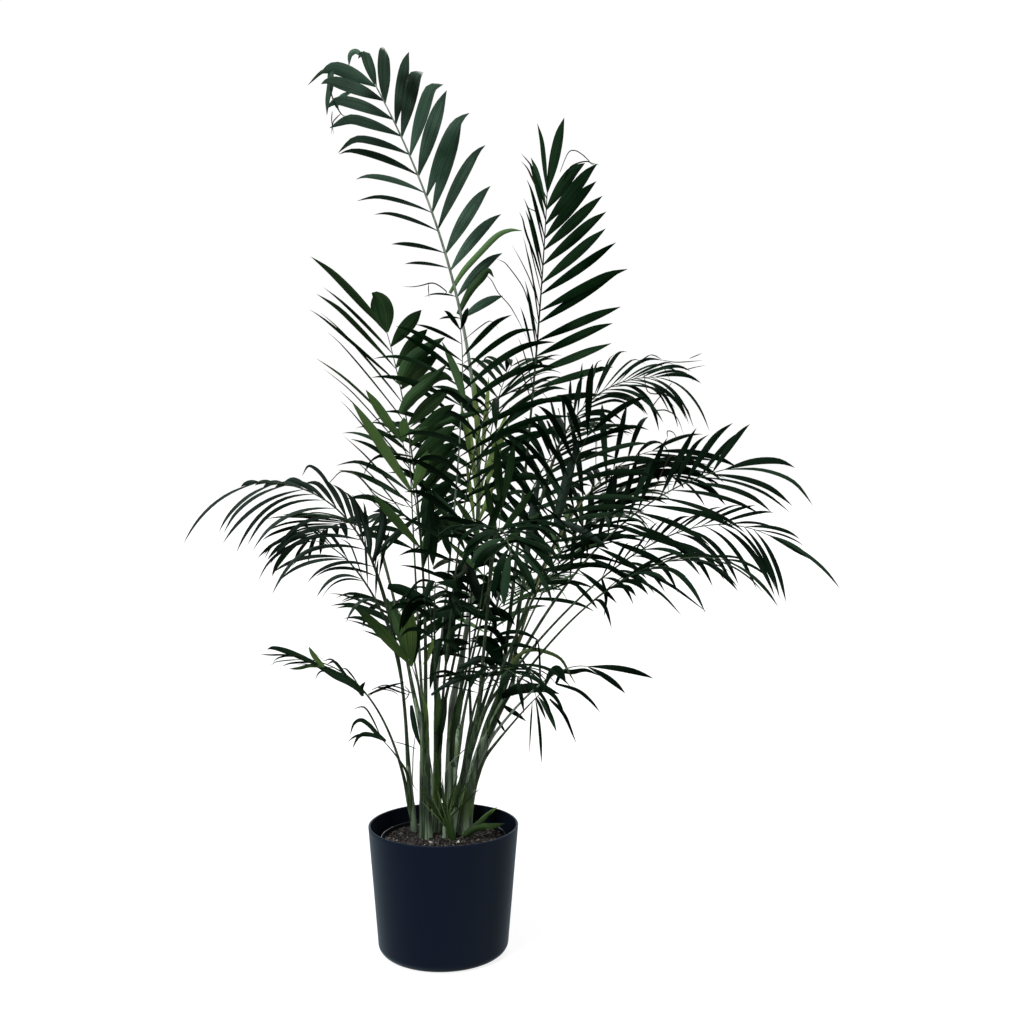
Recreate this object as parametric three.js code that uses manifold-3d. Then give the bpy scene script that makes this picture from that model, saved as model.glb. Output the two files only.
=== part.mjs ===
// A clump of cat palm standing in a plastic nursery pot, inside a round cover pot.
// Millimetres, +Z up, +X to the right of the view along +Y.
// The origin is the centre of the flat underside of the cover pot.
import * as THREE from 'three';
import { mergeVertices } from 'three/addons/utils/BufferGeometryUtils.js';
import Module from 'manifold-3d';

const wasm = await Module();
wasm.setup();

// ---- pots and soil ----
const POT_HEIGHT = 201.6;
const POT_RIM_RADIUS = 120;
const POT_FOOT_RADIUS = 104.6;
const POT_WALL = 3.4;
const POT_FLOOR = 4;
const POT_EDGE_ROUND = 15;
const POT_SIDES = 48;
const GROWER_RIM_RADIUS = 101;
const GROWER_FOOT_RADIUS = 88;
const GROWER_TOP = 181;
const GROWER_WALL = 1.6;
const GROWER_SIDES = 36;
const SOIL_TOP = 174;
const CLEARANCE = 0.3;
const SEATING_STEPS = 4;
const SEATING_REACH = 20;

// ---- leaves ----
const STEM_SIDES = 8;
const STEM_STEPS = 4;
const PETIOLE_STEPS = 4;
const RIB_ROOT_RADIUS = 3.2;
const RIB_TIP_RADIUS = 1.3;
const RIB_CORNERS = [90, 210, 330];
const LEAFLET_ROOT = 7;
const LEAFLET_THICKNESS = 2.0;
const LEAFLET_FIRST_SPAN = 0.44;
const LEAFLET_MIN_THICKNESS_SHARE = 0.012;
const LATE_POWER = 3;
const TOUCH_MARGIN = 0.7;
const TOUCH_START = 0.06;
const FEELER_ROOT_SHARE = 0.3;
const JITTER_ANGLE = 4;
const JITTER_LENGTH = 0.07;
const JITTER_DROOP = 0.3;

// ---- colours ----
const POT_COLOUR = 0x161d2b;
const GROWER_COLOUR = 0x2a2d31;
const SOIL_COLOUR = 0x2b2420;
const STEM_COLOUR = 0x3f5a3f;
const FROND_COLOUR = 0x1d3a2c;
const FRESH_COLOUR = 0x3c5f2c;

// Each stem is a cane wrapped in leaf sheaths: its foot in the soil, the point that it
// bends by, the fork where it ends, and its radius at the foot and at the fork.
const STEMS = [
  { name: 'stem_left', foot: [-50, 45], bend: [-57, 42, 240], fork: [-61, 40, 295],
    radius: [5, 4] },
  { name: 'stem_broad', foot: [-29, 13], bend: [-32, 12, 265], fork: [-30, 5, 386],
    radius: [9, 6.5] },
  { name: 'stem_inner', foot: [-16, 42], bend: [-10, 44, 300], fork: [-15, 44, 409],
    radius: [7, 5] },
  { name: 'stem_slant', foot: [11, 18], bend: [18, 16, 250], fork: [68, 0, 390],
    radius: [5.5, 4] },
  { name: 'stem_thick', foot: [32, 37], bend: [38, 35, 300], fork: [113, 25, 423],
    radius: [10, 6.5] },
  { name: 'stem_centre', foot: [6, 47], bend: [4, 52, 275], fork: [12, 55, 390],
    radius: [7, 5.5] },
  { name: 'stem_rear', foot: [20, 70], bend: [33, 82, 274], fork: [56, 95, 382],
    radius: [5.5, 4.5] },
  { name: 'stem_rear_left', foot: [-19, 66], bend: [-28, 95, 278], fork: [-60, 130, 391],
    radius: [6, 4.5] },
  { name: 'stem_rear_right', foot: [37, 62], bend: [34, 102, 270], fork: [98, 150, 407],
    radius: [5, 4.5] },
  { name: 'stem_back', foot: [8, 72], bend: [10, 110, 280], fork: [20, 165, 380],
    radius: [6, 4.5] },
  { name: 'shoot', foot: [2, 9], bend: [1, 7, 186], fork: [0, 6, 197], radius: [4, 3] },
  { name: 'seedling', foot: [30, 14], bend: [31, 12, 180], fork: [34, 10, 186],
    radius: [2, 1.8] },
];

// Each arm is the long bare stalk of a leaf that bends over hard. Its blade is a node of
// its own that begins at the bend. at is how far up its stem the arm leaves it.
const ARMS = [
  { name: 'arm_left', on: 'stem_left', at: 1, bend: [-66, 30, 466], tip: [-98, 0, 577] },
  { name: 'arm_right', on: 'stem_thick', at: 1, bend: [118, 40, 600], tip: [172, 40, 770] },
  { name: 'arm_rear_left', on: 'stem_rear_left', at: 1, bend: [-95, 160, 560],
    tip: [-130, 210, 650] },
  { name: 'arm_rear_right', on: 'stem_rear_right', at: 1, bend: [130, 170, 560],
    tip: [220, 220, 700] },
  { name: 'arm_front', on: 'stem_slant', at: 0.85, bend: [70, -60, 520], tip: [80, -120, 640] },
];
const ARM_RADIUS = [2.9, 2.4];
const ARM_SIDES = 6;

// Each frond: what it grows on and how far up, the elbow that its rib bends by, its tip,
// the way its upper side faces and the bare share of its rib. Then its pairs of leaflets,
// their greatest length, their width as a share of it, their angle to the rib at its foot
// and tip and how fast the one eases into the other (ease), and how much closer the plus
// side lies at foot and tip (skew). ends are the shares of the greatest length that are
// reached at foot and tip. end is how long and how wide the last pair is, and gape how far
// its two blades stand apart, minus side first. pack draws the pairs towards the foot and
// lift raises them out of the frond's plane. reach, broad, droop and turn hold four values
// each, for the minus side's foot and tip and the plus side's foot and tip: how long and
// how wide the blades are, how hard they hang and how far they turn on themselves. rib is
// how stout the rib is.
const FROND_DEFAULTS = {
  at: 1,
  bare: 0.4,
  pairs: 8,
  leaflet: 150,
  width: 0.118,
  spread: [62, 32],
  ease: 1,
  skew: [0, 0],
  ends: [0.7, 0.72],
  reach: [1, 1, 1, 1],
  broad: [1, 1, 1, 1],
  end: [0.8, 1.25],
  gape: [19, 19],
  pack: 1,
  lift: 14,
  droop: [0.3, 0.6, 0.3, 0.6],
  turn: [0, 0, 0, 0],
  rib: 0.85,
  colour: FROND_COLOUR,
};
const FRONDS = [
  { name: 'frond_tallest', on: 'stem_centre', elbow: [139, 20, 930], tip: [-103, -40, 1367],
    faces: [0.4, -1, 0], bare: 0.62, pairs: 12, leaflet: 195, width: 0.115, spread: [67, 38],
    ease: 0.45, skew: [8, 7], ends: [0.42, 0.55], reach: [0.5, 0.8, 0.86, 0.72],
    broad: [0.36, 1.15, 0.85, 1.15], end: [0.58, 0.95], gape: [38, 12], pack: 0.9, lift: 10,
    droop: [0.3, 0.3, 0.3, 0], turn: [70, 10, 8, 8], rib: 1.5 },
  { name: 'frond_upper_right', on: 'stem_thick', at: 0.89, elbow: [153, 70, 911],
    tip: [168, 60, 1230], faces: [0.35, -1, 0], bare: 0.58, pairs: 11, leaflet: 165,
    spread: [50, 24], ease: 0.6, skew: [-26, -6], reach: [0.7, 0.7, 1.06, 0.88],
    broad: [0.7, 0.9, 1.1, 1.95], end: [0.95, 0.7], gape: [10, 10], pack: 0.95, lift: 4,
    droop: [0, 0, 0, 0], turn: [108, 55, 0, 0], rib: 1.1 },
  { name: 'frond_middle', on: 'stem_inner', elbow: [43, 10, 905], tip: [31, -80, 984],
    faces: [0.1, -1, 0.2], bare: 0.52, pairs: 10, leaflet: 185, width: 0.09, spread: [58, 44],
    skew: [4, 4], ends: [0.85, 0.4], reach: [0.8, 0.85, 1.15, 0.8], broad: [0.8, 1, 1, 1.3],
    end: [0.32, 1.2], lift: 10, droop: [0.5, 0.15, 0.55, 0.1] },
  { name: 'frond_upper_left', on: 'stem_broad', elbow: [-20, -30, 753], tip: [-85, -50, 985],
    faces: [0.05, -1, 0], bare: 0.42, pairs: 11, leaflet: 195, spread: [42, 42], skew: [-8, -10],
    reach: [1, 1, 0.5, 0.45], broad: [0.6, 0.8, 1.35, 1.35], end: [0.78, 1.9], gape: [27, 4],
    lift: 5, droop: [0.1, 0.05, 0.1, 0.05], turn: [88, 50, 15, 10] },
  { name: 'frond_fresh', on: 'stem_broad', at: 0.93, elbow: [-17, -60, 675], tip: [-59, -70, 814],
    faces: [0.3, -1, 0], bare: 0.62, pairs: 3, leaflet: 168, width: 0.13, spread: [34, 24],
    reach: [1, 1, 0.35, 0.35], end: [0.62, 1.2], droop: [0.05, 0.05, 0.05, 0.05],
    turn: [20, 20, 0, 0], colour: FRESH_COLOUR },
  { name: 'frond_left', on: 'arm_left', elbow: [-140, -40, 753], tip: [-285, -60, 749],
    faces: [0, -0.9, 0.6], bare: 0.08, pairs: 12, leaflet: 172, spread: [39, 14], ease: 1,
    skew: [11, 10], reach: [0.95, 0.9, 0.62, 0.2], broad: [0.9, 0.9, 1.2, 1.2], end: [0.95, 1],
    gape: [16, 6], lift: 4, droop: [0.8, 1.3, 0.3, 0.9] },
  { name: 'frond_left_under', on: 'arm_left', at: 0.75, elbow: [-136, -50, 650],
    tip: [-192, -100, 661], faces: [0, -0.9, 0.6], bare: 0.3, leaflet: 150, spread: [38, 14],
    skew: [8, 6], reach: [0.95, 0.9, 0.6, 0.5], gape: [16, 10], lift: 5,
    droop: [0.6, 1, 0.25, 0.5] },
  { name: 'frond_left_low', on: 'stem_left', at: 0.6, elbow: [-104, 15, 453],
    tip: [-221, -30, 471], faces: [0.2, -0.8, 0.5], bare: 0.66, pairs: 4, leaflet: 60,
    spread: [14, 8], skew: [0, 0], end: [0.9, 0.9], gape: [10, 10], droop: [0.1, 0.1, 0.1, 0.1] },
  { name: 'frond_left_small', on: 'stem_left', at: 0.82, elbow: [-72, -22, 318],
    tip: [-97, -45, 350], faces: [0.2, -0.8, 0.5], bare: 0.9, pairs: 1, leaflet: 80, width: 0.12,
    spread: [30, 20], broad: [1.3, 1.3, 1.1, 1.1], end: [1, 1], gape: [20, 20],
    droop: [0.5, 0.5, 0.5, 0.5], rib: 0.7 },
  { name: 'frond_forked', on: 'stem_broad', at: 0.7, elbow: [-29, -30, 418], tip: [-48, -45, 465],
    faces: [0, -1, 0.1], bare: 0.8, pairs: 1, leaflet: 135, width: 0.2, spread: [40, 30],
    reach: [1, 1, 0.86, 0.86], broad: [0.7, 0.7, 0.95, 0.95], end: [1, 1], gape: [17, 17],
    lift: 0, droop: [0.05, 0.05, 0.05, 0.05], colour: FRESH_COLOUR },
  { name: 'frond_right', on: 'stem_thick', at: 0.78, elbow: [235, 0, 721], tip: [447, -40, 770],
    faces: [0, -0.8, 1], bare: 0.45, pairs: 12, leaflet: 165, spread: [62, 38], skew: [-22, 6],
    reach: [0.9, 0.85, 1, 1.2], broad: [1, 1, 0.85, 0.85], end: [0.75, 1.5], gape: [8, 12],
    lift: 12, droop: [0.1, 0.5, 0.15, 0.5], rib: 1.1 },
  { name: 'frond_right_far', on: 'stem_slant', elbow: [331, -60, 755], tip: [496, -120, 668],
    faces: [0.2, -0.6, 1], bare: 0.5, pairs: 12, leaflet: 140, spread: [50, 36], skew: [0, -14],
    reach: [0.6, 0.72, 1.05, 1.25], end: [0.72, 1.7], gape: [8, -6], lift: 6,
    droop: [0.3, 0.6, 0.8, 0.9] },
  { name: 'frond_right_low', on: 'stem_thick', at: 0.88, elbow: [266, -110, 664],
    tip: [409, -220, 639], faces: [0.2, -0.5, 1], bare: 0.5, pairs: 9, leaflet: 165,
    spread: [42, 24], reach: [0.55, 0.5, 1.05, 0.9], lift: 4, droop: [0.35, 0.6, 0.35, 0.6] },
  { name: 'frond_right_high', on: 'arm_right', elbow: [220, 30, 923], tip: [343, 0, 917],
    faces: [0, -0.5, 1], bare: 0.06, pairs: 11, leaflet: 158, spread: [60, 34], skew: [0, -6],
    reach: [0.75, 0.68, 0.95, 1], end: [0.8, 1.2], lift: 10, droop: [0.2, 0.6, 0.3, 1.5] },
  { name: 'frond_right_inner', on: 'stem_thick', at: 0.95, elbow: [189, 60, 770],
    tip: [351, 110, 804], faces: [0, -0.8, 1], bare: 0.4, pairs: 10, leaflet: 180,
    spread: [62, 34], reach: [0.9, 0.9, 1, 1], lift: 8, droop: [0.1, 0.6, 0.1, 0.6] },
  { name: 'frond_right_small', on: 'stem_thick', at: 0.5, elbow: [123, -10, 383],
    tip: [160, -60, 427], faces: [0, -0.9, 0.7], bare: 0.8, pairs: 3, leaflet: 108, width: 0.095,
    spread: [95, 40], gape: [30, 30], droop: [0.5, 0.9, 0.5, 0.9] },
  { name: 'frond_right_short', on: 'stem_thick', at: 0.62, elbow: [173, -40, 477],
    tip: [229, -90, 467], faces: [0, -1, 0.3], bare: 0.9, pairs: 1, leaflet: 112, width: 0.14,
    reach: [1, 1, 0.68, 0.68], end: [1, 1], gape: [11, 11], lift: 0,
    droop: [0.25, 0.25, 0.25, 0.25] },
  { name: 'frond_inner_left', on: 'stem_centre', at: 0.9, elbow: [75, -20, 579],
    tip: [67, -70, 652], faces: [0, -1, 0.2], bare: 0.82, pairs: 3, leaflet: 125,
    spread: [45, 25], lift: 4, droop: [0.05, 0.1, 0.05, 0.1] },
  { name: 'frond_inner_upright', on: 'stem_centre', at: 0.75, elbow: [88, -30, 627],
    tip: [93, -60, 709], faces: [0.1, -1, 0.1], bare: 0.88, pairs: 2, leaflet: 135,
    spread: [24, 18], end: [0.9, 1.1], gape: [7, 7], lift: 4, droop: [0, 0, 0, 0] },
  { name: 'frond_inner_right', on: 'stem_rear', at: 0.9, elbow: [150, 80, 640],
    tip: [228, -60, 824], faces: [0.1, -1, 0.2], pairs: 8, leaflet: 165, spread: [62, 36],
    droop: [0.2, 0.4, 0.2, 0.4] },
  { name: 'frond_core_left', on: 'stem_inner', at: 0.8, elbow: [55, 20, 624], tip: [59, 10, 782],
    faces: [0, -1, 0.1], bare: 0.75, pairs: 3, leaflet: 150, spread: [16, 9], end: [1, 1],
    gape: [5, 5], lift: 2, droop: [0, 0, 0, 0], colour: FRESH_COLOUR },
  { name: 'frond_core_right', on: 'stem_inner', at: 0.9, elbow: [-38, -20, 865],
    tip: [-8, -50, 700], faces: [0, -1, 0.2], bare: 0.85, pairs: 3, leaflet: 105, width: 0.14,
    spread: [34, 24], gape: [10, 14], droop: [0.3, 0.3, 0.3, 0.3], rib: 0.7 },
  { name: 'frond_core_low', on: 'stem_rear', at: 0.75, elbow: [35, 40, 491], tip: [50, -20, 633],
    faces: [0.2, -1, 0.2], bare: 0.35, pairs: 7, leaflet: 80, width: 0.2, spread: [80, 50],
    ends: [0.9, 0.7], droop: [1.6, 2.2, 1.6, 2.2] },
  { name: 'frond_front', on: 'arm_front', elbow: [90, -220, 720], tip: [110, -340, 650],
    faces: [0, 0, 1], bare: 0.08, pairs: 9, leaflet: 115, width: 0.13, droop: [0.5, 1, 0.5, 1] },
  { name: 'frond_front_left', on: 'stem_inner', at: 0.7, elbow: [-12, -80, 585],
    tip: [4, -230, 608], faces: [0.2, -0.6, 1], bare: 0.5, pairs: 6, leaflet: 85, width: 0.16,
    spread: [70, 40], droop: [1.4, 1.8, 1.4, 1.8] },
  { name: 'frond_front_low', on: 'stem_slant', at: 0.5, elbow: [60, -130, 520],
    tip: [120, -270, 480], faces: [0, 0, 1], bare: 0.5, leaflet: 110,
    droop: [0.5, 0.9, 0.5, 0.9] },
  { name: 'frond_front_right', on: 'stem_slant', at: 0.9, elbow: [180, -130, 700],
    tip: [235, -290, 700], faces: [0, 0, 1], bare: 0.5, leaflet: 120, spread: [62, 36] },
  { name: 'frond_front_high', on: 'stem_inner', at: 0.6, elbow: [40, -120, 850],
    tip: [90, -270, 860], faces: [0, -0.5, 1], bare: 0.45, leaflet: 150 },
  { name: 'frond_rear_left', on: 'arm_rear_left', elbow: [-170, 260, 705], tip: [-270, 340, 650],
    faces: [0, 0, 1], bare: 0.08, pairs: 9 },
  { name: 'frond_back_left', on: 'stem_rear_left', at: 0.8, elbow: [-80, 260, 820],
    tip: [-90, 400, 860], faces: [0, -0.3, 1], bare: 0.5 },
  { name: 'frond_back', on: 'stem_back', elbow: [60, 230, 900], tip: [110, 400, 980],
    faces: [0, -0.3, 1], bare: 0.5, pairs: 9 },
  { name: 'frond_back_right', on: 'stem_rear', elbow: [120, 200, 820], tip: [260, 370, 860],
    faces: [0, -0.3, 1], bare: 0.5, pairs: 9 },
  { name: 'frond_rear_right', on: 'arm_rear_right', elbow: [300, 270, 800], tip: [420, 340, 760],
    faces: [0, 0, 1], bare: 0.08, pairs: 9 },
  { name: 'frond_back_low', on: 'stem_back', at: 0.7, elbow: [60, 260, 560], tip: [150, 390, 560],
    faces: [0, 0, 1], bare: 0.5 },
  { name: 'frond_back_low_left', on: 'stem_rear_left', at: 0.6, elbow: [-70, 220, 520],
    tip: [-120, 340, 520], faces: [0, 0, 1], bare: 0.5 },
  { name: 'frond_back_low_right', on: 'stem_rear_right', at: 0.7, elbow: [190, 210, 670],
    tip: [310, 280, 720], faces: [0, 0, 1], bare: 0.5 },
  { name: 'leaf_of_shoot', on: 'shoot', elbow: [0, 5, 201], tip: [1, 4, 208], faces: [0, -1, 0.1],
    bare: 0.2, pairs: 2, leaflet: 88, width: 0.065, spread: [32, 16], ends: [0.8, 1], end: [1, 1],
    gape: [6, 8], lift: 4, droop: [0, 0, 0, 0], rib: 0.7, colour: FRESH_COLOUR },
  { name: 'leaf_of_seedling', on: 'seedling', elbow: [39, 10, 184], tip: [49, 6, 192],
    faces: [-0.2, -0.9, 0.6], bare: 0.3, pairs: 1, leaflet: 56, width: 0.2, spread: [50, 30],
    end: [1, 1], gape: [16, 14], lift: 0, droop: [0.25, 0.25, 0.25, 0.25], rib: 0.7,
    colour: FRESH_COLOUR },
];

const DEGREE = Math.PI / 180;
const UP = new THREE.Vector3(0, 0, 1);
const DOWN = new THREE.Vector3(0, 0, -1);
const LIMB_FACES = new THREE.Vector3(0, -1, 0.2);

// A small seeded generator, so that every run gives the same plant.
function seededRandom(seed) {
  let state = seed;
  return () => {
    state = (state * 1664525 + 1013904223) % 4294967296;
    return state / 4294967296;
  };
}

const vector = (point) => new THREE.Vector3(...point);
const mix = (from, to, share) => from + (to - from) * share;

// ---- closed meshes from points and faces ----
function geometryFrom(points, faces) {
  const geometry = new THREE.BufferGeometry();
  const values = points.flatMap((point) => [point.x, point.y, point.z]);
  geometry.setAttribute('position', new THREE.Float32BufferAttribute(values, 3));
  geometry.setIndex(faces.flat());
  return geometry;
}

function solidFrom(points, faces) {
  return new wasm.Manifold(new wasm.Mesh({
    numProp: 3,
    vertProperties: new Float32Array(points.flatMap((point) => [point.x, point.y, point.z])),
    triVerts: new Uint32Array(faces.flat()),
  }));
}

const quad = (a, b, c, d) => [[a, b, c], [a, c, d]];

// Quads between two rings of the same count, whose corners run anticlockwise seen from
// the second ring.
function band(lower, upper) {
  const faces = [];
  for (let i = 0; i < lower.length; i += 1) {
    const j = (i + 1) % lower.length;
    faces.push(...quad(lower[i], lower[j], upper[j], upper[i]));
  }
  return faces;
}

function fan(ring) {
  const faces = [];
  for (let i = 1; i < ring.length - 1; i += 1) {
    faces.push([ring[0], ring[i], ring[i + 1]]);
  }
  return faces;
}

// ---- a curve with a steady frame: tangent, upper side and right-hand side ----
function framedCurve(start, elbow, tip, faces, centre = 0.7) {
  const curve = new THREE.QuadraticBezierCurve3(start, elbow, tip);
  const across = new THREE.Vector3().crossVectors(
    elbow.clone().sub(start),
    tip.clone().sub(elbow),
  );
  if (across.length() < 1) {
    across.crossVectors(elbow.clone().sub(start), new THREE.Vector3(1, 0.3, 0));
  }
  across.normalize();
  const flatUpper = (tangent) => new THREE.Vector3().crossVectors(across, tangent).normalize();
  const middle = curve.getTangent(centre);
  const roll = Math.atan2(faces.dot(across), faces.dot(flatUpper(middle)));
  return (share) => {
    const along = curve.getTangentAt(share);
    const upper = flatUpper(along).multiplyScalar(Math.cos(roll));
    upper.addScaledVector(across, Math.sin(roll));
    const side = new THREE.Vector3().crossVectors(along, upper);
    return { point: curve.getPointAt(share), along, upper, side };
  };
}

// ---- stems and arms: tapered tubes ----
function taperedTube(frameAt, radii, sides, steps) {
  const points = [];
  const faces = [];
  const rings = [];
  for (let step = 0; step <= steps; step += 1) {
    const share = step / steps;
    const { point, upper, side } = frameAt(share);
    const radius = mix(radii[0], radii[1], share);
    const ring = [];
    for (let i = 0; i < sides; i += 1) {
      const turn = (2 * Math.PI * i) / sides;
      ring.push(points.length);
      points.push(point.clone()
        .addScaledVector(upper, radius * Math.cos(turn))
        .addScaledVector(side, radius * Math.sin(turn)));
    }
    rings.push(ring);
  }
  for (let step = 0; step < steps; step += 1) {
    faces.push(...band(rings[step], rings[step + 1]));
  }
  faces.push(...fan([...rings[0]].reverse()), ...fan(rings[steps]));
  return { points, faces };
}

// What already stands in the plant: each solid with its box, so that leaflets can keep off.
const standing = [];

function stand(solid, owner, hand = 0) {
  standing.push({ solid, box: solid.boundingBox(), owner, hand });
}

function boxesMeet(a, b) {
  return [0, 1, 2].every((axis) => a.min[axis] <= b.max[axis] && b.min[axis] <= a.max[axis]);
}

// Whether a leaflet on one hand of its frond touches anything but its own rib and the
// leaflets across that rib.
function touches(solid, owner, hand) {
  const box = solid.boundingBox();
  return standing.some((other) => (other.owner !== owner || other.hand === hand)
    && boxesMeet(box, other.box)
    && !solid.intersect(other.solid).isEmpty());
}

const limbs = new Map();

// Where a limb or rib leaves another limb: straight on from its end, or at its side. Its
// root is then drawn in until the solid that shapeFrom makes lies the clearance away.
function seatOn(name, at, aim, radius, shapeFrom) {
  const limb = limbs.get(name);
  const { point, along } = limb.frameAt(at);
  const reach = vector(aim).sub(point);
  const inward = reach.clone().addScaledVector(along, -reach.dot(along)).normalize().negate();
  const start = point.clone();
  if (at === 1) {
    const tilt = reach.normalize().angleTo(along);
    start.addScaledVector(along, CLEARANCE + radius * Math.sin(tilt));
    inward.copy(along).negate();
  } else {
    const limbRadius = mix(limb.radii[0], limb.radii[1], at);
    start.addScaledVector(inward, -(limbRadius + radius + CLEARANCE));
  }
  for (let step = 0; step < SEATING_STEPS; step += 1) {
    const shape = shapeFrom(start);
    const gap = solidFrom(shape.points, shape.faces).minGap(limb.solid, SEATING_REACH);
    start.addScaledVector(inward, gap - CLEARANCE);
  }
  return start;
}

const group = new THREE.Group();

function addMesh(name, geometry, colour, roughness = 0.6) {
  const material = new THREE.MeshStandardMaterial({ color: colour, roughness, metalness: 0 });
  const mesh = new THREE.Mesh(geometry, material);
  mesh.name = name;
  group.add(mesh);
}

function limbShape(start, bend, tip, radii, sides, steps) {
  const frameAt = framedCurve(start, bend, tip, LIMB_FACES, 0.5);
  return { frameAt, radii, ...taperedTube(frameAt, radii, sides, steps) };
}

function addLimb(name, limb) {
  const solid = solidFrom(limb.points, limb.faces);
  limbs.set(name, { ...limb, solid });
  stand(solid, name);
  addMesh(name, geometryFrom(limb.points, limb.faces), STEM_COLOUR);
}

function addStem({ name, foot, bend, fork, radius }) {
  const start = new THREE.Vector3(foot[0], foot[1], SOIL_TOP);
  const tilt = vector(bend).sub(start).angleTo(UP);
  start.z += CLEARANCE + radius[0] * Math.sin(tilt);
  addLimb(name, limbShape(start, vector(bend), vector(fork), radius, STEM_SIDES, STEM_STEPS));
}

function addArm({ name, on, at, bend, tip }) {
  const shapeFrom = (start) => limbShape(
    start,
    vector(bend),
    vector(tip),
    ARM_RADIUS,
    ARM_SIDES,
    PETIOLE_STEPS,
  );
  addLimb(name, shapeFrom(seatOn(on, at, bend, ARM_RADIUS[0], shapeFrom)));
}

// ---- fronds ----
// How far along the leafy part of its rib a pair stands. A lone pair stands at the tip.
const pairShare = (pair, pairs) => (pairs > 1 ? pair / (pairs - 1) : 1);

// The rings of a rib: a few along the bare stalk, then two for each pair of leaflets, a
// leaflet's root apart. Each ring has a ridge on the upper side and a corner on each side.
function ribRings({ length, bare, pairs, pack }) {
  const shares = [];
  for (let step = 0; step < PETIOLE_STEPS; step += 1) {
    shares.push((bare * step) / PETIOLE_STEPS);
  }
  const rootShare = LEAFLET_ROOT / length;
  const pairRings = [];
  for (let pair = 0; pair < pairs; pair += 1) {
    const share = mix(bare, 1 - rootShare, pairShare(pair, pairs) ** pack);
    pairRings.push(shares.length);
    shares.push(share, share + rootShare);
  }
  return { shares, pairRings };
}

function ribShape(settings, start) {
  const elbow = vector(settings.elbow);
  const tip = vector(settings.tip);
  const length = new THREE.QuadraticBezierCurve3(start, elbow, tip).getLength();
  const blade = mix(settings.bare, 1, 0.5);
  const frameAt = framedCurve(start, elbow, tip, vector(settings.faces), blade);
  const { shares, pairRings } = ribRings({ ...settings, length });
  const points = [];
  const faces = [[0, 2, 1]];
  shares.forEach((share, ring) => {
    const { point, upper, side } = frameAt(Math.min(share, 1));
    const radius = mix(RIB_ROOT_RADIUS, RIB_TIP_RADIUS, share) * settings.rib;
    RIB_CORNERS.forEach((angle) => {
      points.push(point.clone()
        .addScaledVector(upper, radius * Math.sin(angle * DEGREE))
        .addScaledVector(side, -radius * Math.cos(angle * DEGREE)));
    });
    if (ring > 0) {
      const last = ring * 3;
      faces.push(...band([last - 3, last - 2, last - 1], [last, last + 1, last + 2]));
    }
  });
  faces.push([points.length - 3, points.length - 2, points.length - 1]);
  return { points, faces, shares, pairRings, frameAt };
}

// One leaflet: its middle section and its point, from the root's centre.
function leafletShape(frame, root, hand, size) {
  const { along, upper, side } = frame;
  const outward = side.clone().multiplyScalar(hand * Math.cos(size.lift));
  outward.addScaledVector(upper, Math.sin(size.lift));
  const first = along.clone().multiplyScalar(Math.cos(size.angle));
  first.addScaledVector(outward, Math.sin(size.angle));
  const last = first.clone().addScaledVector(DOWN, size.droop).normalize();
  const width = along.clone().addScaledVector(first, -along.dot(first)).normalize();
  const face = new THREE.Vector3().crossVectors(width, first).multiplyScalar(-hand);
  width.applyAxisAngle(first, size.turn * hand);
  face.applyAxisAngle(first, size.turn * hand);
  const middle = root.clone().addScaledVector(first, size.length * LEAFLET_FIRST_SPAN);
  const tip = middle.clone().addScaledVector(last, size.length * (1 - LEAFLET_FIRST_SPAN));
  return { root, middle, tip, width, face };
}

// The four corners of a leaflet's section, in the order of its root's corners.
function section(centre, width, face, hand, halfWidth, halfDepth) {
  const signs = hand > 0
    ? [[-1, 1], [-1, -1], [1, -1], [1, 1]]
    : [[-1, -1], [-1, 1], [1, 1], [1, -1]];
  return signs.map(([across, over]) => centre.clone()
    .addScaledVector(width, across * halfWidth)
    .addScaledVector(face, over * halfDepth));
}

function leafletPoints(rootCorners, shape, hand, size, margin = 0) {
  const middle = section(
    shape.middle,
    shape.width,
    shape.face,
    hand,
    size.width / 2 + margin,
    size.depth / 2 + margin,
  );
  const reach = shape.tip.clone().sub(shape.middle).normalize();
  const tip = shape.tip.clone().addScaledVector(reach, margin);
  return [...rootCorners, ...middle, tip];
}

const leafletFaces = (ring, middle, tip) => [
  ...band(ring, middle),
  ...middle.map((corner, i) => [corner, middle[(i + 1) % middle.length], tip]),
];
const LOOSE_LEAFLET_FACES = [
  ...fan([3, 2, 1, 0]),
  ...leafletFaces([0, 1, 2, 3], [4, 5, 6, 7], 8),
];

// The outer part of a leaflet, a little thicker than it is, to feel for neighbours with.
function feeler(shape, hand, size) {
  const start = shape.root.clone().lerp(shape.middle, TOUCH_START);
  const corners = section(
    start,
    shape.width,
    shape.face,
    hand,
    size.width * FEELER_ROOT_SHARE + TOUCH_MARGIN,
    size.depth / 2 + TOUCH_MARGIN,
  );
  return solidFrom(leafletPoints(corners, shape, hand, size, TOUCH_MARGIN), LOOSE_LEAFLET_FACES);
}

// Small changes that a leaflet tries, in turn, when it would touch something.
const TRIALS = [
  { lift: 0, turn: 0, length: 1 },
  { lift: 10, turn: 12, length: 1 },
  { lift: -10, turn: -12, length: 1 },
  { lift: 20, turn: 20, length: 0.92 },
  { lift: -20, turn: -20, length: 0.92 },
  { lift: 30, turn: 30, length: 0.8 },
  { lift: -30, turn: -30, length: 0.8 },
  { lift: 12, turn: 0, length: 0.6 },
  { lift: -12, turn: 0, length: 0.6 },
];

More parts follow.
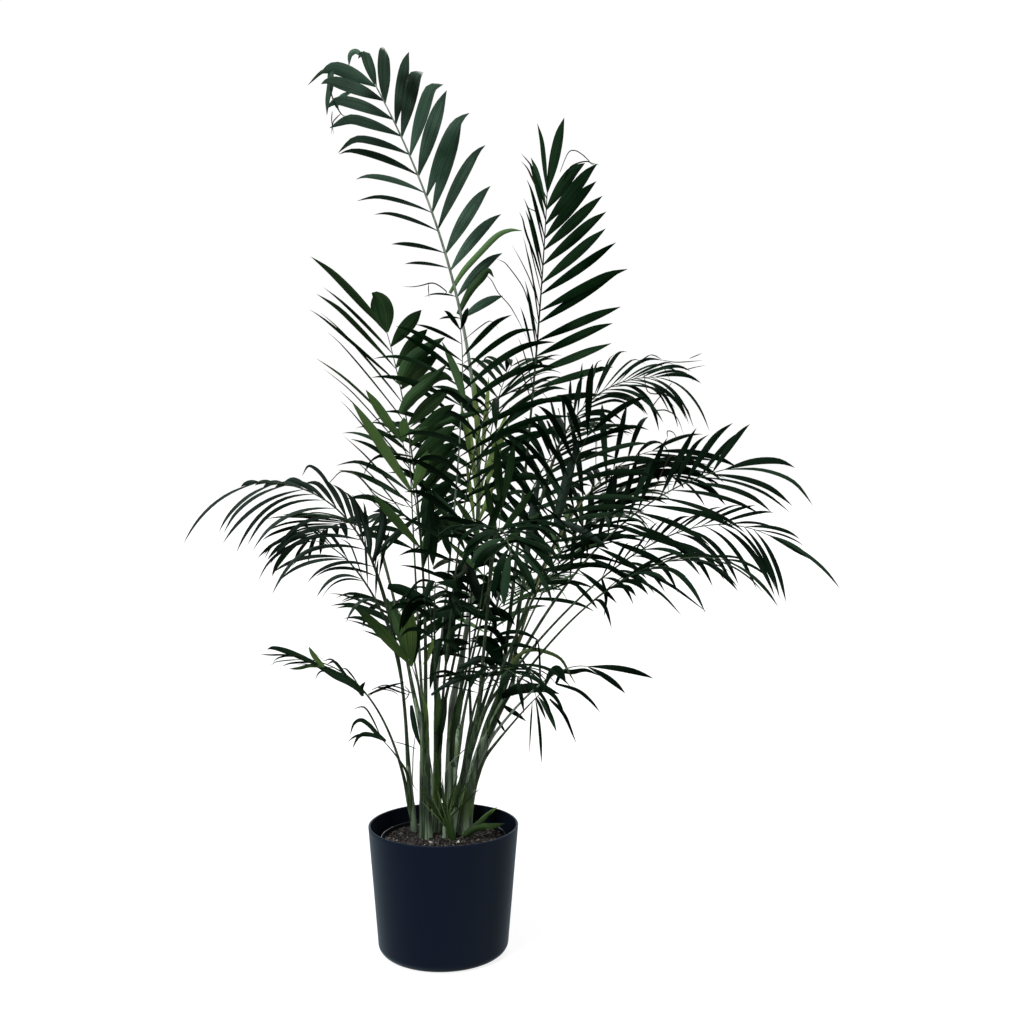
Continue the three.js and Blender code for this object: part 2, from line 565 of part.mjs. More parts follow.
function placeLeaflet(owner, frame, rootCorners, hand, size) {
  const root = new THREE.Vector3();
  rootCorners.forEach((corner) => root.addScaledVector(corner, 1 / rootCorners.length));
  for (const trial of TRIALS) {
    const tried = {
      ...size,
      lift: size.lift + trial.lift * DEGREE,
      turn: size.turn + trial.turn * DEGREE,
      length: size.length * trial.length,
    };
    const shape = leafletShape(frame, root, hand, tried);
    const solid = solidFrom(leafletPoints(rootCorners, shape, hand, tried), LOOSE_LEAFLET_FACES);
    const tests = [solid, feeler(shape, hand, tried)];
    if (!tests.some((test) => touches(test, owner, hand))) {
      stand(solid, owner, hand);
      return leafletPoints([], shape, hand, tried);
    }
  }
  return null;
}

// 1 halfway along the frond, and ends at its foot and at its tip.
function lengthShare(share, ends) {
  return mix(1, share < 0.5 ? ends[0] : ends[1], (2 * share - 1) ** 2);
}

// A mix of four values: the foot's and the tip's on the minus side, then on the plus side.
function sided(values, hand, share) {
  const [foot, tip] = hand > 0 ? values.slice(2) : values;
  return mix(foot, tip, share);
}

function prepareFrond(given, index) {
  const settings = { ...FROND_DEFAULTS, ...given };
  const { on, at, elbow } = settings;
  const radius = RIB_ROOT_RADIUS * settings.rib;
  const start = seatOn(on, at, elbow, radius, (root) => ribShape(settings, root));
  const rib = ribShape(settings, start);
  stand(solidFrom(rib.points, rib.faces), settings.name);
  return { ...settings, rib, random: seededRandom(index * 977 + 11) };
}

function addFrond(frond) {
  const { rib } = frond;
  const points = [...rib.points];
  const faces = [[0, 2, 1], [points.length - 3, points.length - 2, points.length - 1]];
  for (let ring = 0; ring < rib.shares.length - 1; ring += 1) {
    const [ridge, plus, minus] = [0, 1, 2].map((i) => ring * 3 + i);
    const [nextRidge, nextPlus, nextMinus] = [3, 4, 5].map((i) => ring * 3 + i);
    faces.push(...quad(plus, minus, nextMinus, nextPlus));
    const sides = [
      { hand: 1, corners: [ridge, plus, nextPlus, nextRidge] },
      { hand: -1, corners: [minus, ridge, nextRidge, nextMinus] },
    ];
    const pair = rib.pairRings.indexOf(ring);
    sides.forEach(({ hand, corners }) => {
      const leaf = pair >= 0 && leafletAt(frond, pair, hand, corners.map((i) => points[i]));
      if (!leaf) {
        faces.push(...quad(...corners));
        return;
      }
      const first = points.length;
      points.push(...leaf);
      faces.push(...leafletFaces(corners, [0, 1, 2, 3].map((i) => first + i), first + 4));
    });
  }
  addMesh(frond.name, geometryFrom(points, faces), frond.colour, 0.45);
}

function leafletAt(frond, pair, hand, corners) {
  const jitter = (amount) => (frond.random() * 2 - 1) * amount;
  const share = pairShare(pair, frond.pairs);
  const late = share ** LATE_POWER;
  const terminal = pair === frond.pairs - 1;
  const spread = mix(...frond.spread, share ** frond.ease) - hand * mix(...frond.skew, share);
  const gape = hand > 0 ? frond.gape[1] : frond.gape[0];
  const angle = terminal ? gape : spread + jitter(JITTER_ANGLE);
  const scale = terminal ? frond.end[0] : lengthShare(share, frond.ends);
  const reach = sided(frond.reach, hand, share) * (1 + jitter(JITTER_LENGTH));
  const breadth = sided(frond.broad, hand, late) * (terminal ? frond.end[1] : 1);
  const length = frond.leaflet * scale * reach;
  const size = {
    angle: angle * DEGREE,
    lift: frond.lift * DEGREE,
    turn: sided(frond.turn, hand, late) * DEGREE,
    droop: sided(frond.droop, hand, share ** 2) * (1 + jitter(JITTER_DROOP)),
    length,
    width: frond.leaflet * frond.width * Math.sqrt(scale) * breadth,
    depth: Math.max(LEAFLET_THICKNESS, length * LEAFLET_MIN_THICKNESS_SHARE),
  };
  const frame = frond.rib.frameAt(frond.rib.shares[frond.rib.pairRings[pair]]);
  return placeLeaflet(frond.name, frame, corners, hand, size);
}

// ---- pots and soil: turned shapes ----
function turned(outline, sides) {
  const profile = outline.map(([radius, height]) => new THREE.Vector2(radius, height));
  const geometry = new THREE.LatheGeometry(profile, sides);
  geometry.rotateX(Math.PI / 2);
  geometry.deleteAttribute('normal');
  geometry.deleteAttribute('uv');
  return mergeVertices(geometry, 1e-4);
}

function potOutline() {
  const outline = [[0, 0]];
  const roundSteps = 4;
  const roundCentre = POT_FOOT_RADIUS - POT_EDGE_ROUND;
  for (let step = 0; step <= roundSteps; step += 1) {
    const turn = (Math.PI / 2) * (step / roundSteps);
    outline.push([
      roundCentre + POT_EDGE_ROUND * Math.sin(turn),
      POT_EDGE_ROUND * (1 - Math.cos(turn)),
    ]);
  }
  outline.push([POT_RIM_RADIUS, POT_HEIGHT]);
  outline.push([POT_RIM_RADIUS - POT_WALL, POT_HEIGHT]);
  outline.push([POT_FOOT_RADIUS - POT_WALL, POT_EDGE_ROUND]);
  outline.push([roundCentre, POT_FLOOR]);
  outline.push([0, POT_FLOOR]);
  return outline;
}

function growerOutline() {
  const foot = POT_FLOOR + CLEARANCE;
  return [
    [0, foot],
    [GROWER_FOOT_RADIUS, foot],
    [GROWER_RIM_RADIUS, GROWER_TOP],
    [GROWER_RIM_RADIUS - GROWER_WALL, GROWER_TOP],
    [GROWER_FOOT_RADIUS - GROWER_WALL, foot + GROWER_WALL],
    [0, foot + GROWER_WALL],
  ];
}

function soilOutline() {
  const foot = POT_FLOOR + GROWER_WALL + 2 * CLEARANCE;
  const inner = (height) => mix(
    GROWER_FOOT_RADIUS,
    GROWER_RIM_RADIUS,
    (height - POT_FLOOR) / (GROWER_TOP - POT_FLOOR),
  ) - GROWER_WALL - 2 * CLEARANCE;
  return [[0, foot], [inner(foot), foot], [inner(SOIL_TOP), SOIL_TOP], [0, SOIL_TOP]];
}

// ---- the plant in its pot ----
addMesh('cover_pot', turned(potOutline(), POT_SIDES), POT_COLOUR, 0.55);
addMesh('grower_pot', turned(growerOutline(), GROWER_SIDES), GROWER_COLOUR, 0.6);
addMesh('soil', turned(soilOutline(), GROWER_SIDES), SOIL_COLOUR, 0.95);
STEMS.forEach(addStem);
ARMS.forEach(addArm);
FRONDS.map(prepareFrond).forEach(addFrond);

export default group;
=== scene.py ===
"""A cat palm in a nursery pot, inside a round cover pot: the looks.

The tables and the rule that grows each frond are those of the part's source, in its
millimetres, and are carried here to more leaflets, each with its own outline, fold and
droop. Meshes are made in metres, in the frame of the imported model.
"""
import math

import bmesh
import bpy
import numpy as np
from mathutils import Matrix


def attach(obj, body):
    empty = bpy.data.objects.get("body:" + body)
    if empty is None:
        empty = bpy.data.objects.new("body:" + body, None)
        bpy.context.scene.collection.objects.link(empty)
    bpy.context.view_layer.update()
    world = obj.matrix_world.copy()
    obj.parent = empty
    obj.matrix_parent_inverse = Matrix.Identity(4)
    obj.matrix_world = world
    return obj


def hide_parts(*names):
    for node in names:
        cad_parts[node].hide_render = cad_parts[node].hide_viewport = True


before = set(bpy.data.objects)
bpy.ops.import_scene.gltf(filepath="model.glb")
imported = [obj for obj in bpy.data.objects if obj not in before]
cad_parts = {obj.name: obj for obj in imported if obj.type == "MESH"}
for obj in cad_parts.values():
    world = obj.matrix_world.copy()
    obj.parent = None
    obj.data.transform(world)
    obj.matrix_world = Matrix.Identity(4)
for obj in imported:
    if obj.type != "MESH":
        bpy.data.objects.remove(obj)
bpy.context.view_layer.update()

MM = 0.001
ROOT = "root"

# ---- camera ----
CAMERA_PLACE = (0.110, -1.800, 0.736)
CAMERA_PITCH_DOWN = 1.09
CAMERA_LENS = 39.586
CAMERA_SENSOR = 36.0

# ---- pots and soil, as the source has them ----
POT_HEIGHT = 201.6
POT_RIM_RADIUS = 120
POT_FOOT_RADIUS = 104.6
POT_WALL = 3.4
POT_FLOOR = 4
POT_EDGE_ROUND = 15
GROWER_RIM_RADIUS = 101
GROWER_FOOT_RADIUS = 88
GROWER_TOP = 181
GROWER_WALL = 1.6
SOIL_TOP = 174
CLEARANCE = 0.3

# ---- leaves, as the source has them ----
RIB_ROOT_RADIUS = 3.2
RIB_TIP_RADIUS = 1.3
LATE_POWER = 3

# Canes and shoots: the name, the foot (X, Y), the bend, the fork, and the radii at both ends.
STEMS = [
    ("stem_left", (-50, 45), (-57, 42, 240), (-61, 40, 295), (5, 4)),
    ("stem_broad", (-29, 13), (-32, 12, 265), (-30, 5, 386), (9, 6.5)),
    ("stem_inner", (-16, 42), (-10, 44, 300), (-15, 44, 409), (7, 5)),
    ("stem_slant", (11, 18), (18, 16, 250), (68, 0, 390), (5.5, 4)),
    ("stem_thick", (32, 37), (38, 35, 300), (113, 25, 423), (10, 6.5)),
    ("stem_centre", (6, 47), (4, 52, 275), (12, 55, 390), (7, 5.5)),
    ("stem_rear", (20, 70), (33, 82, 274), (56, 95, 382), (5.5, 4.5)),
    ("stem_rear_left", (-19, 66), (-28, 95, 278), (-60, 130, 391), (6, 4.5)),
    ("stem_rear_right", (37, 62), (34, 102, 270), (98, 150, 407), (5, 4.5)),
    ("stem_back", (8, 72), (10, 110, 280), (20, 165, 380), (6, 4.5)),
    ("shoot", (2, 9), (1, 7, 186), (0, 6, 197), (4, 3)),
    ("seedling", (30, 14), (31, 12, 180), (34, 10, 186), (2, 1.8)),
]
# Leaf stalks that bend out round a gap: the name, the carrier, the share of the carrier's
# length at which it leaves, the bend and the tip.
ARMS = [
    ("arm_left", "stem_left", 1, (-66, 30, 466), (-98, 0, 577)),
    ("arm_right", "stem_thick", 1, (118, 40, 600), (172, 40, 770)),
    ("arm_rear_left", "stem_rear_left", 1, (-95, 160, 560), (-130, 210, 650)),
    ("arm_rear_right", "stem_rear_right", 1, (130, 170, 560), (220, 220, 700)),
    ("arm_front", "stem_slant", 0.85, (70, -60, 520), (80, -120, 640)),
]
ARM_RADII = (2.9, 2.4)

# The source's settings of each frond, then what only this script uses: the number of finer
# pairs (0 works it out from pairs), the looks of the leaflets and of the stalk, how slim the
# leaflets are, how far their points hook over, the share that strays, how uneven they are,
# and the share that is dry.
FROND_DEFAULTS = dict(
    at=1, bare=0.4, pairs=8, leaflet=150, width=0.118, spread=(62, 32), ease=1, skew=0, ends=(0.7, 0.72),
    reach=1, broad=1, end=(0.8, 1.25), gape=19, pack=1, lift=14, droop=(0.3, 0.6), turn=0, rib=0.85,
    finer=0, green="deep", stalk="green", slim=0.8, hook=0.5, stray=0.08, wild=1, dry=0.03,
)
PAIRED = ("spread", "skew", "ends", "end", "gape", "hook")
SIDED = ("reach", "broad", "droop", "turn")


def frond(name, on, elbow, tip, faces, **given):
    """A frond's settings. One number stands for a pair, and a pair for the same on both sides."""
    settings = {**FROND_DEFAULTS, **given}
    for key in PAIRED + SIDED:
        if not isinstance(settings[key], tuple):
            settings[key] = (settings[key], settings[key])
    for key in SIDED:
        if len(settings[key]) == 2:
            settings[key] *= 2
    return dict(settings, name=name, on=on, elbow=elbow, tip=tip, faces=faces)


FRONDS = [
    frond("frond_tallest", "stem_centre", (139, 20, 930), (-103, -40, 1367), (0.4, -1, 0), bare=0.62,
          leaflet=195, width=0.115, spread=(67, 38), ease=0.45, skew=(8, 7), ends=(0.42, 0.55),
          reach=(0.5, 0.8, 0.86, 0.72), broad=(0.36, 1.15, 0.85, 1.15), end=(0.58, 0.95), gape=(38, 12),
          pack=0.9, lift=10, droop=(0.3, 0.3, 0.3, 0), turn=(70, 10, 8, 8), rib=1.5, finer=13, green="blue",
          stalk="pale", slim=1.1, hook=(0.15, 2.6), stray=0, dry=0),
    frond("frond_upper_right", "stem_thick", (153, 70, 911), (168, 60, 1230), (0.35, -1, 0), at=0.89,
          bare=0.58, leaflet=165, spread=(50, 24), ease=0.6, skew=(-26, -6), reach=(0.7, 0.7, 1.06, 0.88),
          broad=(0.7, 0.9, 1.1, 1.95), end=(0.95, 0.7), gape=10, pack=0.95, lift=4, droop=0,
          turn=(108, 55, 0, 0), rib=1.1, finer=15, green="bright", slim=0.72, hook=(0.2, 0.5), stray=0,
          dry=0),
    frond("frond_middle", "stem_inner", (43, 10, 905), (31, -80, 984), (0.1, -1, 0.2), bare=0.52,
          leaflet=185, width=0.09, spread=(58, 44), skew=4, ends=(0.85, 0.4), reach=(0.8, 0.85, 1.15, 0.8),
          broad=(0.8, 1, 1, 1.3), end=(0.32, 1.2), lift=10, droop=(0.5, 0.15, 0.55, 0.1), finer=12,
          green="bright", stalk="pale", slim=0.6, hook=0.3, wild=1.2),
    frond("frond_upper_left", "stem_broad", (-20, -30, 753), (-85, -50, 985), (0.05, -1, 0), bare=0.42,
          leaflet=195, spread=42, skew=(-8, -10), reach=(1, 1, 0.5, 0.45), broad=(0.6, 0.8, 1.35, 1.35),
          end=(0.78, 1.9), gape=(27, 4), lift=5, droop=(0.1, 0.05), turn=(88, 50, 15, 10), finer=13,
          green="mid", slim=0.76, hook=0.2, dry=0),
    frond("frond_fresh", "stem_broad", (-17, -60, 675), (-59, -70, 814), (0.3, -1, 0), at=0.93, bare=0.62,
          leaflet=168, width=0.13, spread=(34, 24), reach=(1, 1, 0.35, 0.35), end=(0.62, 1.2), droop=0.05,
          turn=(20, 20, 0, 0), finer=3, green="fresh", hook=0.1),
    frond("frond_left", "arm_left", (-140, -40, 753), (-285, -60, 749), (0, -0.9, 0.6), bare=0.08,
          leaflet=172, spread=(39, 14), skew=(11, 10), reach=(0.95, 0.9, 0.62, 0.2),
          broad=(0.9, 0.9, 1.2, 1.2), end=(0.95, 1), gape=(16, 6), lift=4, droop=(0.8, 1.3, 0.3, 0.9),
          finer=13, green="slate", slim=0.36, hook=(0.6, 0.5), stray=0.05, dry=0),
    frond("frond_left_under", "arm_left", (-136, -50, 650), (-192, -100, 661), (0, -0.9, 0.6), at=0.75,
          bare=0.3, spread=(38, 14), skew=(8, 6), reach=(0.95, 0.9, 0.6, 0.5), gape=(16, 10), lift=5,
          droop=(0.6, 1, 0.25, 0.5), finer=7, green="slate", slim=0.31, wild=2, dry=0.08),
    frond("frond_left_low", "stem_left", (-104, 15, 453), (-221, -30, 471), (0.2, -0.8, 0.5), at=0.6,
          bare=0.66, leaflet=60, spread=(14, 8), end=0.9, gape=10, droop=0.1, finer=5, slim=0.5, hook=1,
          wild=2, dry=0.25),
    frond("frond_left_small", "stem_left", (-72, -22, 318), (-97, -45, 350), (0.2, -0.8, 0.5), at=0.82,
          bare=0.9, leaflet=80, width=0.12, spread=(30, 20), broad=(1.3, 1.3, 1.1, 1.1), end=1, gape=20,
          droop=0.5, rib=0.7, finer=1, slim=0.35, hook=0.6),
    frond("frond_forked", "stem_broad", (-29, -30, 418), (-48, -45, 465), (0, -1, 0.1), at=0.7, bare=0.8,
          leaflet=135, width=0.2, spread=(40, 30), reach=(1, 1, 0.86, 0.86), broad=(0.7, 0.7, 0.95, 0.95),
          end=1, gape=17, lift=0, droop=0.05, finer=1, green="olive", slim=0.95),
    frond("frond_right", "stem_thick", (235, 0, 721), (447, -40, 770), (0, -0.8, 1), at=0.78, bare=0.45,
          leaflet=165, spread=(62, 38), skew=(-22, 6), reach=(0.9, 0.85, 1, 1.2), broad=(1, 1, 0.85, 0.85),
          end=(0.75, 1.5), gape=(8, 12), lift=12, droop=(0.1, 0.5, 0.15, 0.5), rib=1.1, finer=15,
          green="dark", slim=0.6, hook=(0.2, 0.4), stray=0.04),
    frond("frond_right_far", "stem_slant", (331, -60, 755), (496, -120, 668), (0.2, -0.6, 1), bare=0.5,
          leaflet=140, spread=(50, 36), skew=(0, -14), reach=(0.6, 0.72, 1.05, 1.25), end=(0.72, 1.7),
          gape=(8, -6), lift=6, droop=(0.3, 0.6, 0.8, 0.9), finer=15, green="dark", slim=0.5, hook=0.3),
    frond("frond_right_low", "stem_thick", (266, -110, 664), (409, -220, 639), (0.2, -0.5, 1), at=0.88,
          bare=0.5, leaflet=165, spread=(42, 24), reach=(0.55, 0.5, 1.05, 0.9), lift=4, droop=(0.35, 0.6),
          finer=11, green="dark", slim=0.45, hook=0.2, wild=1.5),
    frond("frond_right_high", "arm_right", (220, 30, 923), (343, 0, 917), (0, -0.5, 1), bare=0.06,
          leaflet=158, spread=(60, 34), skew=(0, -6), reach=(0.75, 0.68, 0.95, 1), end=(0.8, 1.2), lift=10,
          droop=(0.2, 0.6, 0.3, 1.5), finer=22, green="dark", slim=0.42, hook=(0.5, 1), wild=1.3, dry=0.1),
    frond("frond_right_inner", "stem_thick", (189, 60, 770), (351, 110, 804), (0, -0.8, 1), at=0.95,
          leaflet=180, spread=(62, 34), reach=(0.9, 0.9, 1, 1), lift=8, droop=(0.1, 0.6), finer=13,
          green="dark", stalk="straw", slim=0.5, hook=0.3, wild=1.4),
    frond("frond_right_small", "stem_thick", (123, -10, 383), (160, -60, 427), (0, -0.9, 0.7), at=0.5,
          bare=0.8, leaflet=108, width=0.095, spread=(95, 40), gape=30, droop=(0.5, 0.9), finer=4,
          slim=0.95, hook=0.3, wild=2, dry=0.1),
    frond("frond_right_short", "stem_thick", (173, -40, 477), (229, -90, 467), (0, -1, 0.3), at=0.62,
          bare=0.9, leaflet=112, width=0.14, reach=(1, 1, 0.68, 0.68), end=1, gape=11, lift=0, droop=0.25,
          finer=1, green="dark", stalk="pale", slim=0.6, hook=0),
    frond("frond_inner_left", "stem_centre", (75, -20, 579), (67, -70, 652), (0, -1, 0.2), at=0.9,
          bare=0.82, leaflet=125, spread=(45, 25), lift=4, droop=(0.05, 0.1), finer=3, green="mid",
          slim=0.7, hook=0.2),
    frond("frond_inner_upright", "stem_centre", (88, -30, 627), (93, -60, 709), (0.1, -1, 0.1), at=0.75,
          bare=0.88, leaflet=135, spread=(24, 18), end=(0.9, 1.1), gape=7, lift=4, droop=0, finer=2,
          green="mid", hook=0.1),
    frond("frond_inner_right", "stem_rear", (150, 80, 640), (228, -60, 824), (0.1, -1, 0.2), at=0.9,
          leaflet=165, spread=(62, 36), droop=(0.2, 0.4), finer=13, slim=0.5, hook=0.3, wild=1.4),
    frond("frond_core_left", "stem_inner", (55, 20, 624), (59, 10, 782), (0, -1, 0.1), at=0.8, bare=0.75,
          spread=(16, 9), end=1, gape=5, lift=2, droop=0, finer=4, green="lime", slim=0.5, hook=0.1),
    frond("frond_core_right", "stem_inner", (-38, -20, 865), (-8, -50, 700), (0, -1, 0.2), at=0.9,
          bare=0.85, leaflet=105, width=0.14, spread=(34, 24), gape=(10, 14), droop=0.3, rib=0.7, finer=6,
          slim=0.85, hook=0, stray=0, wild=1.5),
    frond("frond_core_low", "stem_rear", (35, 40, 491), (50, -20, 633), (0.2, -1, 0.2), at=0.75, bare=0.35,
          leaflet=80, width=0.2, spread=(80, 50), ends=(0.9, 0.7), droop=(1.6, 2.2), finer=14, slim=0.9,
          wild=3, dry=0.1),
    frond("frond_front", "arm_front", (90, -220, 720), (110, -340, 650), (0, 0, 1), bare=0.08, pairs=9,
          leaflet=115, width=0.13, droop=(0.5, 1), wild=2),
    frond("frond_front_left", "stem_inner", (-12, -80, 585), (4, -230, 608), (0.2, -0.6, 1), at=0.7,
          bare=0.5, pairs=6, leaflet=85, width=0.16, spread=(70, 40), droop=(1.4, 1.8), slim=0.9, wild=3),
    frond("frond_front_low", "stem_slant", (60, -130, 520), (120, -270, 480), (0, 0, 1), at=0.5, bare=0.5,
          leaflet=110, droop=(0.5, 0.9), slim=0.6, wild=2),
    frond("frond_front_right", "stem_slant", (180, -130, 700), (235, -290, 700), (0, 0, 1), at=0.9,
          bare=0.5, leaflet=120, spread=(62, 36), slim=0.5, wild=1.6),
    frond("frond_front_high", "stem_inner", (40, -120, 850), (90, -270, 860), (0, -0.5, 1), at=0.6,
          bare=0.45, slim=0.5, wild=1.6),
    frond("frond_rear_left", "arm_rear_left", (-170, 260, 705), (-270, 340, 650), (0, 0, 1), bare=0.08,
          pairs=9),
    frond("frond_back_left", "stem_rear_left", (-80, 260, 820), (-90, 400, 860), (0, -0.3, 1), at=0.8,
          bare=0.5),
    frond("frond_back", "stem_back", (60, 230, 900), (110, 400, 980), (0, -0.3, 1), bare=0.5, pairs=9),
    frond("frond_back_right", "stem_rear", (120, 200, 820), (260, 370, 860), (0, -0.3, 1), bare=0.5,
          pairs=9),
    frond("frond_rear_right", "arm_rear_right", (300, 270, 800), (420, 340, 760), (0, 0, 1), bare=0.08,
          pairs=9, green="dark"),
    frond("frond_back_low", "stem_back", (60, 260, 560), (150, 390, 560), (0, 0, 1), at=0.7, bare=0.5,
          green="mid"),
    frond("frond_back_low_left", "stem_rear_left", (-70, 220, 520), (-120, 340, 520), (0, 0, 1), at=0.6,
          bare=0.5),
    frond("frond_back_low_right", "stem_rear_right", (190, 210, 670), (310, 280, 720), (0, 0, 1), at=0.7,
          bare=0.5, green="mid"),
    frond("leaf_of_shoot", "shoot", (0, 5, 201), (1, 4, 208), (0, -1, 0.1), bare=0.2, leaflet=88,
          width=0.065, spread=(32, 16), ends=(0.8, 1), end=1, gape=(6, 8), lift=4, droop=0, rib=0.7,
          finer=6, green="young", slim=0.6, hook=0.1, wild=2),
    frond("leaf_of_seedling", "seedling", (39, 10, 184), (49, 6, 192), (-0.2, -0.9, 0.6), bare=0.3,
          leaflet=56, width=0.2, spread=(50, 30), end=1, gape=(16, 14), lift=0, droop=0.25, rib=0.7,
          finer=1, green="young", slim=0.95, hook=0.1),
]

# ---- the finer leaflets ----
FINER_SHARE = 1.4
BLADE_ROWS = 13
BLADE_COLUMNS = 7
BLADE_OUTLINE = [(0, 0.14), (0.05, 0.26), (0.12, 0.45), (0.22, 0.68), (0.34, 0.87), (0.46, 0.98),
                 (0.56, 1), (0.67, 0.95), (0.78, 0.78), (0.87, 0.52), (0.94, 0.25), (1, 0.015)]
ROW_CROWDING = 0.92
BLADE_BEND = 1.35
ROOT_FOLD = 0.5
BLADE_FOLD = 0.2
BLADE_PLEAT = 0.07
MIDRIB_RISE = 0.04
BEND_POWER = 1.5
HOOK_SPAN = 0.2
HOOK_BACKWARD = 0.45
HOOK_LEVEL = (0.15, 1)
SWAY_PLACE = 0.3
FOLD_OPENING = 0.35
LEAST_SPREAD = 0.3
TIP_MARGIN = 4
BLADE_SEAT = (0.5, 0.4)
STRAY_DROOP = 0.5
STRAY_HOOK = 2
CREASE_PLACE = (0.6, 0.8)
FROND_SEED = 23
JITTER = dict(place=0.22, angle=5, length=0.08, lift=4, turn=10, twist=24, droop=0.35, sway=0.12,
              width=0.1)
DRY_CURL = 1.6
DRY_WIDTH = 0.2

DOWN = np.array((0.0, 0.0, -1.0))


def mix(start, end, share):
    return start + (end - start) * share


def smooth(low, high, value):
    """0 below low, 1 above high and an even S between."""
    share = np.clip((value - low) / (high - low), 0, 1)
    return share * share * (3 - 2 * share)


def unit(vectors):
    vectors = np.asarray(vectors, dtype=float)
    return vectors / np.maximum(np.linalg.norm(vectors, axis=-1, keepdims=True), 1e-12)


def squared(vectors, axes):
    """Vectors made square to unit axes, and of unit length."""
    return unit(vectors - axes * (vectors * axes).sum(-1, keepdims=True))


def turned_about(vectors, axes, angles):
    """Vectors turned about unit axes by angles in radians."""
    angles = np.asarray(angles)[..., None]
    along = (vectors * axes).sum(-1, keepdims=True) * axes
    return (vectors * np.cos(angles) + np.cross(axes, vectors) * np.sin(angles)
            + along * (1 - np.cos(angles)))


def round_turn(corners):
    """Angles of evenly spaced corners round a circle."""
    return 2 * np.pi * np.arange(corners) / corners


def scaled(colour, factor):
    return tuple(factor * part for part in colour)


# ---- curves with a steady frame ----
class Bow:
    """The source's framed curve: a quadratic curve, its upper side and its right side."""

    STEPS = 200
    SPARE_AXIS = (1, 0.3, 0)

    def __init__(self, start, elbow, tip, faces, centre):
        self.knots = [np.array(point, dtype=float) for point in (start, elbow, tip)]
        self.marks = np.linspace(0, 1, self.STEPS + 1)
        lengths = np.linalg.norm(np.diff(self.point_of(self.marks), axis=0), axis=1)
        self.travelled = np.concatenate(([0], np.cumsum(lengths)))
        self.length = self.travelled[-1]
        start, elbow, tip = self.knots
        across = np.cross(elbow - start, tip - elbow)
        if np.linalg.norm(across) < 1:
            across = np.cross(elbow - start, self.SPARE_AXIS)
        self.across = unit(across)
        middle = unit(np.cross(self.across, self.tangent_of([centre])[0]))
        self.roll = math.atan2(np.dot(faces, self.across), np.dot(faces, middle))

    def point_of(self, t):
        start, elbow, tip = self.knots
        t = np.asarray(t, dtype=float)[:, None]
        return start * (1 - t) ** 2 + elbow * 2 * t * (1 - t) + tip * t ** 2

    def tangent_of(self, t):
        start, elbow, tip = self.knots
        t = np.asarray(t, dtype=float)[:, None]
        return unit((elbow - start) * (1 - t) + (tip - elbow) * t)

    def at(self, shares):
        """Points, tangents, upper sides and right-hand sides at shares of the length."""
        shares = np.atleast_1d(np.asarray(shares, dtype=float))
        t = np.interp(shares * self.length, self.travelled, self.marks)
        along = self.tangent_of(t)
        flat = unit(np.cross(self.across, along))
        upper = flat * math.cos(self.roll) + self.across * math.sin(self.roll)
        return self.point_of(t), along, upper, np.cross(along, upper)


# ---- meshes from arrays ----
TUBE_END_RADIUS = 0.05
BLADE_LAYER = "place"


def placed(name, data):
    """A new object in the scene."""
    made = bpy.data.objects.new(name, data)
    bpy.context.collection.objects.link(made)
    return made


class Surface:
    """Points, faces and their place across and along a blade, gathered for one piece."""

    def __init__(self):
        self.points = []
        self.quads = []
        self.places = []
        self.count = 0

    def add(self, points, quads, places):
        self.points.append(points)
        self.quads.append(quads + self.count)
        self.places.append(places)
        self.count += len(points)

    def add_grids(self, grids, closed=False):
        """Sheets of shape (sheets, rows, columns, 3), in millimetres."""
        sheets, rows, columns, _ = grids.shape
        index = np.arange(sheets * rows * columns).reshape(sheets, rows, columns)
        if closed:
            index = np.concatenate((index, index[:, :, :1]), axis=2)
        quads = np.stack((index[:, :-1, :-1], index[:, :-1, 1:], index[:, 1:, 1:],
                          index[:, 1:, :-1]), axis=-1)
        across, along = np.meshgrid(np.linspace(0, 1, columns), np.linspace(0, 1, rows))
        places = np.tile(np.stack((across, along), axis=-1).reshape(-1, 2), (sheets, 1))
        self.add(grids.reshape(-1, 3), quads.reshape(-1, 4), places)

    def add_tube(self, points, normals, sides, radii):
        """A closed tube whose ends shrink to a point. radii has the shape (rings, corners)."""
        corners = round_turn(radii.shape[1])[:, None]
        ring = normals[:, None] * np.cos(corners) + sides[:, None] * np.sin(corners)
        grid = points[:, None] + ring * radii[..., None]
        closing = points[:, None] + ring * TUBE_END_RADIUS
        grid = np.concatenate((closing[:1], grid, closing[-1:]))
        self.add_grids(grid[None], closed=True)

    def make(self, name, material, slot, replaced, smooth_faces=True):
        quads = np.concatenate(self.quads)
        corners = quads.ravel()
        mesh = bpy.data.meshes.new(name)
        mesh.vertices.add(self.count)
        mesh.vertices.foreach_set("co", (np.concatenate(self.points) * MM).ravel())
        mesh.loops.add(corners.size)
        mesh.loops.foreach_set("vertex_index", corners.astype(np.int32))
        mesh.polygons.add(len(quads))
        mesh.polygons.foreach_set("loop_start", np.arange(0, corners.size, 4, dtype=np.int32))
        mesh.polygons.foreach_set("use_smooth", np.full(len(quads), smooth_faces))
        layer = mesh.uv_layers.new(name=BLADE_LAYER)
        layer.data.foreach_set("uv", np.concatenate(self.places)[corners].ravel())
        mesh.update(calc_edges=True)
        mesh.validate()
        mesh.materials.append(material)
        piece = placed(name, mesh)
        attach(piece, ROOT)
        if replaced:
            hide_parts(*replaced)


